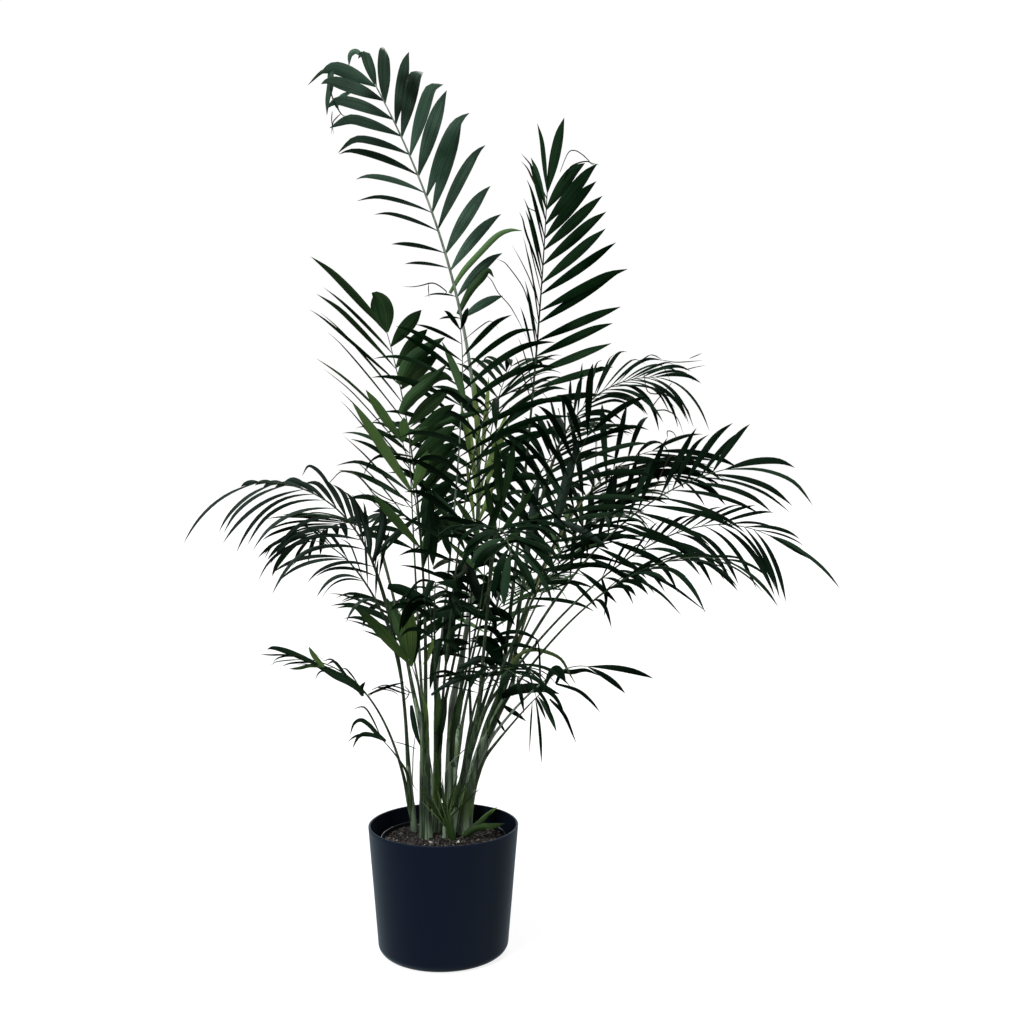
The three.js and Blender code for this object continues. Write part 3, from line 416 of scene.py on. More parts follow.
# ---- materials ----
class Shader:
    """A short way to write a node material."""

    def __init__(self, name):
        self.material = bpy.data.materials.new(name)
        self.material.use_nodes = True
        self.nodes = self.material.node_tree.nodes
        self.links = self.material.node_tree.links
        self.surface = self.nodes["Principled BSDF"]

    def join(self, value, socket):
        """Links another node's output to a socket, or sets the socket's own value."""
        if isinstance(value, bpy.types.NodeSocket):
            self.links.new(value, socket)
        else:
            socket.default_value = value

    def set(self, node, **inputs):
        for key, value in inputs.items():
            self.join(value, node.inputs[key.replace("_", " ")])
        return node

    def node(self, kind, **inputs):
        return self.set(self.nodes.new(kind), **inputs)

    def place(self):
        return self.node("ShaderNodeTexCoord").outputs["Object"]

    def island(self):
        """A number that differs from one loose part of the mesh to the next."""
        return self.node("ShaderNodeNewGeometry").outputs["Random Per Island"]

    def noise(self, vector, scale, detail, roughness=0.55):
        made = self.node("ShaderNodeTexNoise", Vector=vector, Scale=scale, Detail=detail,
                         Roughness=roughness)
        return made.outputs["Fac"]

    def streaks(self, vector, stretch, detail=2.0):
        """Noise drawn out: the smaller a part of the stretch, the longer its streaks."""
        mapped = self.node("ShaderNodeMapping", Vector=vector, Scale=stretch)
        return self.noise(mapped.outputs["Vector"], 1.0, detail)

    def spread_out(self, value, low, high, to_low=0.0, to_high=1.0):
        return self.node("ShaderNodeMapRange", Value=value, From_Min=low, From_Max=high,
                         To_Min=to_low, To_Max=to_high).outputs["Result"]

    def over(self, below, above, mask, low, high, most=1.0):
        """One colour laid over another: none of it at the mask's low, and most at its high."""
        made = self.nodes.new("ShaderNodeMix")
        made.data_type = "RGBA"
        share = self.spread_out(mask, low, high, 0.0, most)
        for index, value in ((0, share), (6, below), (7, above)):
            self.join((*value, 1) if isinstance(value, tuple) else value, made.inputs[index])
        return made.outputs[2]

    def finish(self, colour, roughness, shine, relief, strength, depth):
        """Sets what every surface has, and returns the material."""
        bump = self.node("ShaderNodeBump", Height=relief, Strength=strength, Distance=depth)
        self.set(self.surface, Base_Color=colour, Roughness=roughness,
                 Specular_IOR_Level=shine, Normal=bump.outputs["Normal"])
        return self.material


def leaf_material(name, light, dark, tint, gloss, shine):
    """A waxy blade: its green drifts over the plant and from blade to blade, with painted shade on one half
    of each blade and a painted sheen on some blades.
    """
    shader = Shader(name)
    island = shader.island()
    layer = shader.node("ShaderNodeUVMap")
    layer.uv_map = BLADE_LAYER
    blade_place = layer.outputs["UV"]
    split = shader.node("ShaderNodeSeparateXYZ", Vector=blade_place).outputs
    drift = shader.noise(shader.place(), 9.0, 2.0)
    veins = shader.streaks(blade_place, (26.0, 0.9, 1.0))
    green = shader.over(dark, light, drift, 0.38, 0.62)
    green = shader.over(green, tint, island, 0.1, 0.9, 0.7)
    green = shader.over(green, scaled(dark, 0.5), veins, 0.36, 0.64, 0.7)
    # Painted shade: the half of each blade on one side of the midrib is darkened, as one side of the fold
    # would be in shade.
    green = shader.over(green, dark, split["X"], 0.46, 0.54, 0.36)
    green = shader.over(green, dark, split["Y"], 0.3, 1.0, 0.5)
    # Partly random blade tone and partly painted sheen: about a fifth of the blades, picked at random, are
    # lifted towards a paler green.
    green = shader.over(green, scaled(light, 1.7), island, 0.75, 1.0, 0.5)
    roughness = shader.spread_out(drift, 0.3, 0.7, gloss, gloss + 0.14)
    return shader.finish(green, roughness, shine, veins, 0.35, 0.0012)


def stalk_material(name, light, dark, gloss):
    """A smooth stalk or sheath, with fine streaks that run along it."""
    shader = Shader(name)
    place = shader.place()
    streak = shader.streaks(place, (420.0, 420.0, 9.0), 3.0)
    drift = shader.streaks(place, (30.0, 30.0, 9.0))
    colour = shader.over(dark, light, streak, 0.36, 0.64)
    colour = shader.over(colour, dark, drift, 0.38, 0.62, 0.75)
    roughness = shader.spread_out(streak, 0.3, 0.7, gloss, gloss + 0.15)
    return shader.finish(colour, roughness, 0.15, streak, 0.4, 0.0008)


def cane_material(name, light, dark, fresh):
    """Old sheaths: broad light and dark bands, finer streaks, and a few yellowish stretches."""
    shader = Shader(name)
    place = shader.place()
    band = shader.streaks(place, (190.0, 190.0, 5.0))
    streak = shader.streaks(place, (620.0, 620.0, 11.0))
    drift = shader.streaks(place, (22.0, 22.0, 8.0))
    young = shader.streaks(place, (26.0, 26.0, 14.0), 1.0)
    colour = shader.over(dark, light, band, 0.38, 0.62)
    colour = shader.over(colour, scaled(light, 1.25), streak, 0.46, 0.66, 0.5)
    colour = shader.over(colour, dark, drift, 0.42, 0.6, 0.8)
    colour = shader.over(colour, dark, shader.island(), 0.0, 1.0, 0.4)
    colour = shader.over(colour, fresh, young, 0.58, 0.68, 0.7)
    roughness = shader.spread_out(band, 0.3, 0.7, 0.36, 0.52)
    return shader.finish(colour, roughness, 0.25, band, 0.5, 0.0012)


def plastic_material(name, colour, worn, gloss, grain, depth, haze=0.0):
    """Matte moulded plastic with a fine grain and a few paler, worn patches."""
    shader = Shader(name)
    place = shader.place()
    fine = shader.noise(place, grain, 2.0)
    broad = shader.streaks(place, (5.0, 5.0, 2.2), 4.0)
    tone = shader.over(colour, worn, broad, 0.35, 0.72, 0.5)
    roughness = shader.spread_out(broad, 0.3, 0.7, gloss, gloss + 0.1)
    shader.set(shader.surface, Sheen_Weight=haze, Sheen_Roughness=0.4, Sheen_Tint=HAZE_TINT)
    return shader.finish(tone, roughness, 0.1, fine, 0.18, depth)


def soil_material(name, light, dark):
    """Crumbs of dark peat and bark."""
    shader = Shader(name)
    speck = shader.noise(shader.place(), 260.0, 4.0, 0.7)
    colour = shader.over(dark, light, speck, 0.35, 0.68)
    colour = shader.over(colour, dark, shader.island(), 0.15, 0.85, 0.9)
    return shader.finish(colour, 0.92, 0.2, speck, 0.8, 0.002)


# ---- stems ----
LIMB_FACES = (0, -1, 0.2)
STEM_SINK = 3
CANE_SEED = 11
CANE_CORNERS = 30
CANE_STEP = 3.2
CANE_RIBS = (8, 4)
CANE_RIDGE = 0.011
CANE_END = 0.55
FOOT_SWELL = 0.18
FOOT_SWELL_HEIGHT = 16
FIRST_MOUTH = (35, 60)
MOUTH_GAP = (45, 85)
MOUTH_SLANT = (4, 9)
MOUTH_EDGE = 1.6
MOUTH_STEP = 0.45
STALK_CORNERS = 9
STALK_STEP = 9
ARM_RINGS = 34
SHEATH_LENGTH = 80
SHEATH_RINGS = 8
SHEATH_WIDENING = 1.35
STALK_SWELL = 0.35
STALK_SWELL_LENGTH = 22
STALK_HOLLOW = 0.3
STALK_END = 0.55
SHEATH_GAP = 0.4
ARM_SHEATH_GAP = 0.5
SEAM_END = 14
SEAM_PASSES = 3
limbs = {}


def seat(on, at, aim, radius):
    """Where a limb or rib leaves another limb, as in the source but without its drawing in."""
    bow, radii = limbs[on]
    point, along = (value[0] for value in bow.at(at)[:2])
    if at == 1:
        return point + along * CLEARANCE
    reach = np.array(aim, dtype=float) - point
    outward = unit(reach - along * reach.dot(along))
    return point + outward * (mix(*radii, at) + radius * 0.6)


def cane(surface, bow, radii, random):
    """A stem wrapped in old sheaths: lengthwise ridges and slanted, stepped sheath mouths."""
    shares = np.linspace(0, 1, max(6, int(bow.length / CANE_STEP)))
    points, _, upper, side = bow.at(shares)
    turns = round_turn(CANE_CORNERS)
    height = (shares * bow.length)[:, None]
    base = mix(*radii, shares)[:, None] * np.ones(CANE_CORNERS)
    base *= 1 + FOOT_SWELL * np.exp(-height / FOOT_SWELL_HEIGHT)
    ridge = sum(np.cos(turns * ribs + random.uniform(0, 6)) for ribs in CANE_RIBS)
    base += ridge * CANE_RIDGE * base
    base *= mix(1, CANE_END, smooth(0.8, 1, shares))[:, None]
    mouth = random.uniform(*FIRST_MOUTH)
    while mouth < bow.length * 0.9:
        facing = random.uniform(0, 2 * np.pi)
        edge = mouth + random.uniform(*MOUTH_SLANT) * np.cos(turns - facing)
        base += smooth(MOUTH_EDGE, -MOUTH_EDGE, height - edge) * MOUTH_STEP
        mouth += random.uniform(*MOUTH_GAP)
    surface.add_tube(points, upper, side, base)


def stalk_path(bow, on, at, rings, foot_gap, radii):
    """A petiole's centre line and radii, from inside its stem out along its own curve."""
    carrier, carrier_radii = limbs[on]
    shares = np.linspace(0, 1, rings)
    points = bow.at(shares)[0]
    inner = np.linspace(1, 0, SHEATH_RINGS + 1)[:-1]
    down = min(SHEATH_LENGTH, carrier.length * at * 0.9)
    axis = carrier.at(at - inner * down / carrier.length)[0]
    offset = points[0] - carrier.at(at)[0][0]
    sheathing = axis + offset * smooth(1.0, 0.1, inner)[:, None]
    foot_radius = mix(*carrier_radii, at) + foot_gap
    wrap = mix(foot_radius, radii[0] * SHEATH_WIDENING, smooth(1.0, 0.0, inner))
    points = np.concatenate((sheathing, points))
    swell = 1 + STALK_SWELL * np.exp(-shares * bow.length / STALK_SWELL_LENGTH)
    taper = np.concatenate((wrap, mix(*radii, shares) * swell))
    for _ in range(SEAM_PASSES):
        for line in (points, taper):
            evened = line[:SEAM_END - 1] + line[1:SEAM_END] * 2 + line[2:SEAM_END + 1]
            line[1:SEAM_END] = evened / 4
    return points, taper


def carried_frame(points, first):
    """Normals carried along a line without twist, and the sides square to them."""
    tangents = unit(np.gradient(points, axis=0))
    normals = np.empty_like(points)
    normal = np.array(first, dtype=float)
    for i, tangent in enumerate(tangents):
        normal = squared(normal, tangent)
        normals[i] = normal
    return normals, np.cross(tangents, normals)


def stalk(surface, path, facing):
    """A petiole: round below and flat to hollow above."""
    points, taper = path
    channel = 1 - STALK_HOLLOW * np.maximum(np.cos(round_turn(STALK_CORNERS)), 0) ** 2
    surface.add_tube(points, *carried_frame(points, facing), taper[:, None] * channel)


# ---- leaflets ----
def length_share(share, ends):
    """1 halfway along the frond, and ends at its foot and at its tip."""
    return mix(1.0, np.where(share < 0.5, *ends), (2 * share - 1) ** 2)


def folded(centre, widths, normals, half, spread, height):
    """Sheets along centre lines: half widths times each column's spread and height."""
    return (centre[..., None, :]
            + widths[..., None, :] * (half[..., None] * spread)[..., None]
            + normals[..., None, :] * (half[..., None] * height)[..., None])


def blades(roots, along, upper, side, hand, size):
    """Sheets of shape (blades, rows, columns, 3). size holds one value for each blade."""
    size = {key: value[:, None] for key, value in size.items()}
    hand = hand[:, None]
    outward = side * hand * np.cos(size["lift"]) + upper * np.sin(size["lift"])
    first = along * np.cos(size["angle"]) + outward * np.sin(size["angle"])
    width = squared(along, first)
    face = np.cross(width, first) * -hand
    rows = np.linspace(0, 1, BLADE_ROWS) ** ROW_CROWDING
    bend = BLADE_BEND * rows ** BEND_POWER * size["droop"]
    hook = size["hook"] * smooth(size["crease"], size["crease"] + HOOK_SPAN, rows[None])
    away = unit(DOWN - HOOK_BACKWARD * face)
    direction = unit(first[:, None] + DOWN * bend[..., None] + away[:, None] * hook[..., None])
    sway = size["sway"] * (rows - SWAY_PLACE) * rows
    direction = unit(direction + width[:, None] * sway[..., None])
    steps = np.diff(rows)[None, :, None] * size["length"][..., None]
    travelled = np.cumsum((direction[:, :-1] + direction[:, 1:]) / 2 * steps, axis=1)
    centre = roots[:, None] + np.concatenate((np.zeros_like(travelled[:, :1]), travelled), axis=1)
    widths = np.empty_like(centre)
    for row in range(BLADE_ROWS):
        width = squared(width, direction[:, row])
        widths[:, row] = width
    widths = turned_about(widths, direction, size["turn"] * hand + size["twist"] * rows)
    normals = np.cross(widths, direction) * -hand[:, None]
    half = np.interp(rows, *np.transpose(BLADE_OUTLINE)) * size["width"] / 2
    columns = np.linspace(-1, 1, BLADE_COLUMNS)
    pleat = np.where(np.arange(BLADE_COLUMNS) % 2 == 0, -BLADE_PLEAT, BLADE_PLEAT)
    fold = mix(ROOT_FOLD, BLADE_FOLD, smooth(0, FOLD_OPENING, rows))[:, None]
    height = pleat - np.abs(columns) * fold
    height[:, BLADE_COLUMNS // 2] += MIDRIB_RISE
    spread = np.sqrt(np.maximum(1 - fold ** 2, LEAST_SPREAD)) * columns
    return folded(centre, widths, normals, half, spread, height)


def sided(values, hand, share):
    """A mix of four values: the foot's and the tip's on the minus side, then on the plus."""
    return np.where(hand > 0, mix(*values[2:], share), mix(*values[:2], share))


def frond_blades(leaf, bow, random):
    """The blades of one frond, by the source's rule with finer pairs."""
    pairs = leaf["finer"] or max(2, round(leaf["pairs"] * FINER_SHARE))
    share = np.repeat(np.linspace(0, 1, pairs) if pairs > 1 else np.ones(1), 2)
    hand = np.tile((1.0, -1.0), pairs)
    count = len(share)
    terminal = share == 1

    def jitter(kind):
        return random.uniform(-JITTER[kind], JITTER[kind], count) * leaf["wild"]

    step = 1 / max(pairs - 1, 1)
    inside = (share > 0) & (share < 1)
    place = share ** leaf["pack"] + jitter("place") * step * inside
    spread = mix(*leaf["spread"], share ** leaf["ease"]) - hand * mix(*leaf["skew"], share)
    gape = np.where(hand > 0, leaf["gape"][1], leaf["gape"][0])
    angle = np.where(terminal, gape, spread + jitter("angle"))
    scale = np.where(terminal, leaf["end"][0], length_share(share, leaf["ends"]))
    length = leaf["leaflet"] * scale * (1 + jitter("length"))
    late = share ** LATE_POWER
    stray = random.uniform(0, 1, count) < leaf["stray"]
    dry = (random.uniform(0, 1, count) < leaf["dry"]) & ~terminal
    size = dict(
        angle=np.radians(angle),
        lift=np.radians(leaf["lift"] + jitter("lift")),
        turn=np.radians(sided(leaf["turn"], hand, late) + jitter("turn")),
        twist=np.radians(jitter("twist")),
        droop=sided(leaf["droop"], hand, share ** 2) * (1 + jitter("droop")) + STRAY_DROOP * stray,
        hook=mix(*leaf["hook"], late) * random.uniform(*HOOK_LEVEL, count)
        * (1 + STRAY_HOOK * stray) + dry * DRY_CURL,
        crease=random.uniform(*CREASE_PLACE, count),
        sway=jitter("sway"),
        length=length * sided(leaf["reach"], hand, share),
        width=leaf["leaflet"] * leaf["width"] * leaf["slim"] * np.sqrt(scale)
        * sided(leaf["broad"], hand, late) * np.where(terminal, leaf["end"][1], 1)
        * (1 + jitter("width")) * np.where(dry, DRY_WIDTH, 1),
    )
    shares = mix(leaf["bare"], 1 - TIP_MARGIN / bow.length, place)
    points, along, upper, side = bow.at(shares)
    radius = mix(RIB_ROOT_RADIUS, RIB_TIP_RADIUS * 0.7, shares)[:, None]
    outward, upward = BLADE_SEAT
    roots = points + side * hand[:, None] * radius * outward + upper * radius * upward
    grids = blades(roots, along, upper, side, hand, size)
    return grids[~dry], grids[dry]


# ---- strands ----
# Single hanging tips, wisps and torn strips: the look, the greatest width, the depth (Y),
# and the points (X, Z) that each runs through.
STRANDS = [
    # blade tips that hang from the tallest frond
    ("mid", 6, -68, (-164, 1385), (-174, 1379), (-185, 1372), (-202, 1355)),
    ("blue", 10, -67, (-164, 1387), (-167, 1372), (-168, 1354), (-172, 1333), (-173, 1310)),
    ("dark", 2.2, -78, (-166, 1350), (-162, 1331), (-150, 1309), (-143, 1305)),
    ("dark", 1.8, -78, (-150, 1309), (-157, 1302), (-162, 1295), (-165, 1276)),
    ("dark", 1.6, -78, (-163, 1312), (-164, 1299), (-161, 1276)),
    ("blue", 8, -60, (-138, 1348), (-151, 1341), (-159, 1329), (-156, 1321)),
    ("blue", 9, -40, (-121, 1409), (-132, 1418), (-141, 1412), (-143, 1395)),
    ("dark", 2.2, -14, (5, 1048), (6, 1051), (-7, 1061), (-18, 1064), (-34, 1060), (-49, 1058),
     (-63, 1059)),
    ("dark", 1.5, -14, (-22, 1062), (-22, 1053), (-21, 1040)),
    # long wisps beside the upper right frond
    ("wisp", 1.9, 64, (156, 1039), (146, 1067), (136, 1092), (123, 1118), (110, 1141)),
    ("wisp", 1.9, 56, (151, 1010), (138, 1042), (127, 1072), (103, 1105), (93, 1113), (84, 1116)),
    ("dark", 3.6, 64, (161, 1077), (153, 1103), (146, 1126), (133, 1161), (128, 1182), (122, 1195)),
    ("wisp", 1.8, 62, (159, 1168), (150, 1193), (141, 1199), (133, 1204)),
    ("dry", 3.4, 54, (156, 1218), (150, 1233), (143, 1248), (135, 1264), (125, 1275)),
    ("dark", 3, 62, (168, 1215), (156, 1240), (143, 1268), (135, 1279), (125, 1290)),
    ("wisp", 2, 68, (189, 1261), (202, 1292), (213, 1297), (225, 1291), (236, 1281), (242, 1274),
     (254, 1273)),
    ("dark", 2.4, 68, (195, 1248), (205, 1268), (218, 1276), (233, 1279), (242, 1276), (254, 1273)),
    ("wisp", 1.7, 10, (64, 1085), (77, 1073), (88, 1053), (105, 1034), (115, 1018), (124, 1001),
     (139, 969)),
    # dry threads at the left
    ("wisp", 2.4, -32, (-176, 749), (-160, 765), (-147, 765), (-133, 760), (-119, 746), (-105, 729),
     (-82, 717), (-43, 709)),
    ("dark", 2.2, -30, (-111, 422), (-92, 429), (-70, 426), (-51, 418), (-38, 415)),
    ("dry", 1.8, 8, (-122, 404), (-103, 415), (-83, 413), (-70, 404)),
    ("dark", 1.8, -32, (-59, 428), (-52, 419), (-57, 408), (-65, 406)),
    # between the stems
    ("pale", 1.9, -6, (40, 327), (25, 313), (11, 299), (-1, 278)),
    ("dark", 1.6, 10, (-80, 331), (-59, 325), (-40, 317)),
    ("wisp", 1.8, 42, (-49, 333), (-52, 308), (-53, 282), (-53, 254), (-43, 240)),
    ("dark", 9, 4, (-52, 391), (-49, 370), (-44, 346), (-36, 322)),
    ("olive", 8, -10, (-30, 410), (-27, 378), (-26, 351), (-25, 316)),
    ("young", 9, -8, (-8, 418), (-7, 394), (-10, 366), (-15, 338)),
    ("dark", 8, 14, (97, 388), (107, 381), (120, 373), (133, 363)),
    ("dark", 5, 10, (86, 368), (92, 358), (100, 345)),
    # the folded young leaf
    ("young", 13, -2, (4, 227), (10, 198), (15, 172), (20, 144)),
    ("straw", 1.9, -7, (-34, 238), (-22, 225), (-9, 212), (5, 194)),
    ("straw", 1.7, -7, (-18, 248), (-7, 222), (6, 197)),
    ("straw", 1.7, -7, (-9, 256), (-2, 232), (8, 201)),
    ("straw", 1.7, -7, (6, 254), (6, 236), (9, 203)),
    ("straw", 1.7, -7, (14, 241), (11, 225), (11, 200)),
    ("wisp", 1.9, -6, (-29, 251), (-15, 235), (0, 209)),
    ("wisp", 1.9, -5, (-3, 269), (1, 243), (8, 211)),
    # blades and torn pieces between the lower fronds
    ("deep", 17, -35, (-85, 586), (-63, 580), (-34, 567), (-1, 550)),
    ("slate", 20, 12, (13, 563), (10, 527), (8, 492), (3, 450)),
    ("deep", 16, 0, (30, 625), (25, 593), (20, 561), (15, 526)),
    ("slate", 8, -22, (-18, 412), (4, 427), (31, 439), (67, 444), (110, 449), (162, 444)),
    ("wisp", 8, -48, (-13, 614), (-1, 623), (12, 628), (23, 629)),
    ("wisp", 9, -46, (21, 629), (32, 622), (37, 612), (29, 604), (13, 601)),
    ("mid", 20, -46, (-49, 473), (-57, 501), (-69, 534), (-85, 568)),
    ("olive", 8, -20, (-29, 460), (-23, 475), (-17, 491), (-12, 504)),
    ("deep", 11, -44, (-44, 468), (-40, 493), (-36, 518), (-32, 540)),
    ("deep", 7, -18, (85, 507), (110, 512), (132, 509), (156, 496)),
    ("deep", 7, -14, (80, 481), (107, 491), (131, 489), (158, 481)),
    ("slate", 10, -16, (24, 454), (59, 467), (91, 464), (124, 453)),
    ("slate", 17, -12, (37, 626), (48, 594), (62, 562), (83, 530)),
    ("deep", 13, -14, (27, 562), (51, 543), (75, 534), (105, 530)),
    ("deep", 12, 4, (-6, 496), (-12, 472), (-17, 445), (-22, 416)),
    ("mid", 10, 28, (28, 411), (25, 387), (20, 359), (12, 327)),
    ("deep", 9, 12, (3, 398), (0, 372), (-5, 343), (-10, 314)),
    ("deep", 8, 30, (48, 326), (41, 303), (35, 277), (30, 247)),
    ("young", 7, -2, (-12, 317), (-10, 291), (-6, 262), (1, 230)),
    # blades in front of the upper left frond
    ("mid", 21, -56, (-62, 856), (-45, 881), (-21, 901), (10, 932)),
    ("mid", 24, -54, (-65, 901), (-49, 933), (-26, 953), (6, 973)),
    ("mid", 13, -53, (36, 878), (28, 906), (17, 935), (2, 966)),
    ("mid", 12, -39, (-39, 829), (-8, 840), (32, 852), (78, 864)),
    # sheaths and blades at the right
    ("slate", 17, 20, (181, 682), (191, 721), (204, 769), (218, 821)),
    ("slate", 13, 12, (133, 621), (139, 671), (147, 721), (157, 769)),
    ("slate", 12, -20, (184, 688), (213, 677), (240, 661), (263, 642)),
    ("straw", 6.5, -14, (85, 403), (100, 441), (120, 473), (143, 483), (166, 479), (188, 468), (201, 446),
     (212, 427)),
    ("dark", 16, -16, (94, 408), (116, 419), (155, 422), (185, 413)),
    ("dark", 6, -16, (180, 429), (213, 419), (234, 403), (250, 384)),
    ("dark", 5, -18, (148, 408), (156, 392), (164, 372)),
    ("dark", 6, -18, (170, 405), (193, 380), (212, 335)),
    ("dark", 8, -12, (180, 428), (190, 447), (206, 447), (228, 450), (250, 441)),
    # the seedling's blades
    ("young", 12, -3, (31, 180), (44, 190), (59, 203), (80, 224)),
    ("young", 11, -5, (35, 182), (52, 194), (73, 198), (99, 202)),
    # the twisted low leaves at the left
    ("deep", 13, -28, (-124, 415), (-143, 432), (-165, 443), (-188, 456), (-215, 469)),
    ("deep", 9, -30, (-199, 463), (-219, 472), (-243, 482), (-265, 488), (-276, 486)),
    ("dark", 3, -30, (-224, 474), (-248, 477), (-271, 477), (-287, 478)),
    ("olive", 8, -30, (-186, 458), (-197, 469), (-205, 480), (-210, 490)),
    ("young", 6, -30, (-190, 458), (-208, 460), (-226, 456), (-242, 455)),
    ("dark", 5, -28, (-152, 443), (-161, 456), (-171, 466), (-182, 462)),
    ("dark", 8, -26, (-126, 411), (-129, 422), (-122, 434)),
    ("deep", 7, -40, (-88, 343), (-103, 356), (-114, 368), (-127, 376), (-138, 370), (-144, 353)),
    ("deep", 7, -40, (-88, 343), (-105, 351), (-121, 354), (-132, 348), (-140, 332)),
    ("dark", 4.5, 10, (-122, 407), (-103, 415), (-83, 422), (-63, 427)),
    ("dark", 3.2, 28, (-108, 415), (-92, 415), (-73, 408), (-56, 403)),
    # blades beside the left frond
    ("slate", 6, -34, (-158, 712), (-174, 738), (-187, 759), (-199, 771), (-210, 774), (-219, 759)),
    ("deep", 6, -26, (-40, 695), (-58, 677), (-79, 655), (-100, 630)),
    ("dark", 3.5, -68, (-43, 788), (-65, 792), (-87, 792), (-105, 783), (-116, 762)),
    ("slate", 9, -13, (-111, 623), (-101, 656), (-94, 688), (-98, 703), (-111, 702)),
    ("slate", 10, -15, (-116, 634), (-117, 661), (-128, 697), (-143, 729)),
    # wisps at the upper right
    ("wisp", 2.2, 16, (322, 926), (329, 895), (355, 891), (377, 881), (393, 866), (400, 843)),
    ("wisp", 2.2, 39, (370, 911), (338, 870), (361, 867), (379, 855), (391, 825)),
    ("wisp", 1.8, 40, (364, 823), (364, 833), (374, 830), (383, 813)),
    ("wisp", 1.8, 63, (359, 951), (380, 948), (403, 949), (425, 951)),
    ("wisp", 1.6, 63, (403, 954), (415, 959), (424, 963)),
    ("wisp", 1.6, 27, (393, 934), (392, 932), (408, 936), (424, 939)),
    # upright blades low on the tallest frond
    ("mid", 10, -2, (11, 1050), (32, 1084), (59, 1114), (86, 1141), (107, 1150), (126, 1149)),
    ("mid", 13, 1, (24, 1017), (43, 1054), (61, 1075), (72, 1087), (81, 1076)),
    # arching blades under the right fronds
    ("dark", 6, -41, (268, 627), (310, 612), (360, 587), (415, 546)),
    ("dark", 5, -94, (274, 613), (304, 600), (338, 578), (368, 546)),
    ("dark", 6, -46, (250, 600), (255, 581), (257, 565), (254, 540)),
    # threads and blades above the left frond
    ("wisp", 2.2, -28, (-52, 710), (-69, 716), (-88, 724), (-110, 737), (-129, 757), (-145, 765),
     (-159, 765)),
    ("dark", 3.6, -34, (-47, 789), (-73, 793), (-97, 790), (-114, 779), (-124, 757)),
    ("slate", 7, -10, (-110, 627), (-87, 656), (-65, 676), (-41, 696)),
    ("slate", 11, -10, (-110, 627), (-98, 661), (-94, 688), (-98, 704), (-109, 702)),
]
STRAND_STEPS = 22
STRAND_SHAPE = [(0, 0.5), (0.25, 0.95), (0.55, 1), (0.8, 0.62), (1, 0.06)]
STRAND_COLUMNS = np.array((-1.0, -0.4, 0.4, 1.0))
STRAND_FOLD = 0.7
STRAND_FACES = (0.15, -1.0, 0.1)


def curve_through(points, steps):
    """Points along a smooth curve that passes through every point given."""
    padded = np.concatenate((2 * points[:1] - points[1:2], points,
                             2 * points[-1:] - points[-2:-1]))
    shares = np.linspace(0, len(points) - 1.001, steps)
    first = shares.astype(int)
    t = (shares - first)[:, None]
    a, b, c, d = (padded[first + step] for step in range(4))
    return 0.5 * (2 * b + (c - a) * t + (2 * a - 5 * b + 4 * c - d) * t ** 2
                  + (3 * b - a - 3 * c + d) * t ** 3)


def strands():
    """Narrow folded ribbons along smooth paths, gathered by look."""
    gathered = {}
    shape = np.interp(np.linspace(0, 1, STRAND_STEPS), *np.transpose(STRAND_SHAPE))
    height = (0.5 - np.abs(STRAND_COLUMNS)) * STRAND_FOLD
    for look, width, depth, *through in STRANDS:
        points = np.array([(x, depth, z) for x, z in through], dtype=float)
        path = curve_through(points, STRAND_STEPS)
        along = unit(np.gradient(path, axis=0))
        side = unit(np.cross(along, STRAND_FACES))
        grid = folded(path, side, np.cross(side, along), shape * width / 2, STRAND_COLUMNS, height)
        gathered.setdefault(look, []).append(grid)
    return gathered


# ---- turned pieces ----
POT_SIDES = 160
AXIS = 0.01
FOOT_HOLLOW = 0.8
FOOT_HOLLOW_RADIUS = 70
STRAIGHT_END = 6
GROWER_LIP = 1.3
GROWER_STRAIGHT_END = 8


def turned_surface(outline):
    """A surface of revolution from an outline of radii and heights."""
    radii, heights = np.transpose(outline)[..., None]
    turns = round_turn(POT_SIDES)
    grid = np.stack((radii * np.cos(turns), radii * np.sin(turns),
                     np.repeat(heights, POT_SIDES, axis=1)), axis=-1)
    surface = Surface()
    surface.add_grids(grid[None], closed=True)
    return surface


def arc(centre, radius, start, end, steps):
    """Points of a round edge, from start to end degrees."""
    return [(centre[0] + radius * math.cos(math.radians(angle)),
             centre[1] + radius * math.sin(math.radians(angle)))
            for angle in np.linspace(start, end, steps)]


def pot_outer():
    lip = POT_WALL / 2
    foot = (POT_FOOT_RADIUS - POT_EDGE_ROUND, POT_EDGE_ROUND)
    return [
        (AXIS, FOOT_HOLLOW), (FOOT_HOLLOW_RADIUS, FOOT_HOLLOW), (FOOT_HOLLOW_RADIUS + 2, 0),
        *arc(foot, POT_EDGE_ROUND, -90, 0, 9),
        (POT_FOOT_RADIUS + 0.4, POT_EDGE_ROUND + STRAIGHT_END),
        (POT_RIM_RADIUS - 0.3, POT_HEIGHT - STRAIGHT_END),
        *arc((POT_RIM_RADIUS - lip, POT_HEIGHT - lip), lip, 0, 160, 9),
    ]


def pot_inner():
    lip = POT_WALL / 2
    return [
        *arc((POT_RIM_RADIUS - lip, POT_HEIGHT - lip), lip, 160, 180, 3),
        (POT_RIM_RADIUS - POT_WALL - 0.4, POT_HEIGHT - STRAIGHT_END),
        (POT_FOOT_RADIUS - POT_WALL, POT_EDGE_ROUND),
        (POT_FOOT_RADIUS - POT_EDGE_ROUND, POT_FLOOR),
        (AXIS, POT_FLOOR),
    ]


def grower_outline():
    foot = POT_FLOOR + CLEARANCE
    shoulder = GROWER_TOP - GROWER_STRAIGHT_END
    return [
        (AXIS, foot), (GROWER_FOOT_RADIUS, foot), (GROWER_RIM_RADIUS - 1.2, shoulder),
        *arc((GROWER_RIM_RADIUS - GROWER_LIP, GROWER_TOP - GROWER_LIP), GROWER_LIP, -20, 180, 7),
        (GROWER_RIM_RADIUS - GROWER_WALL - 1.4, shoulder),
        (GROWER_FOOT_RADIUS - GROWER_WALL, foot + GROWER_WALL), (AXIS, foot + GROWER_WALL),
    ]


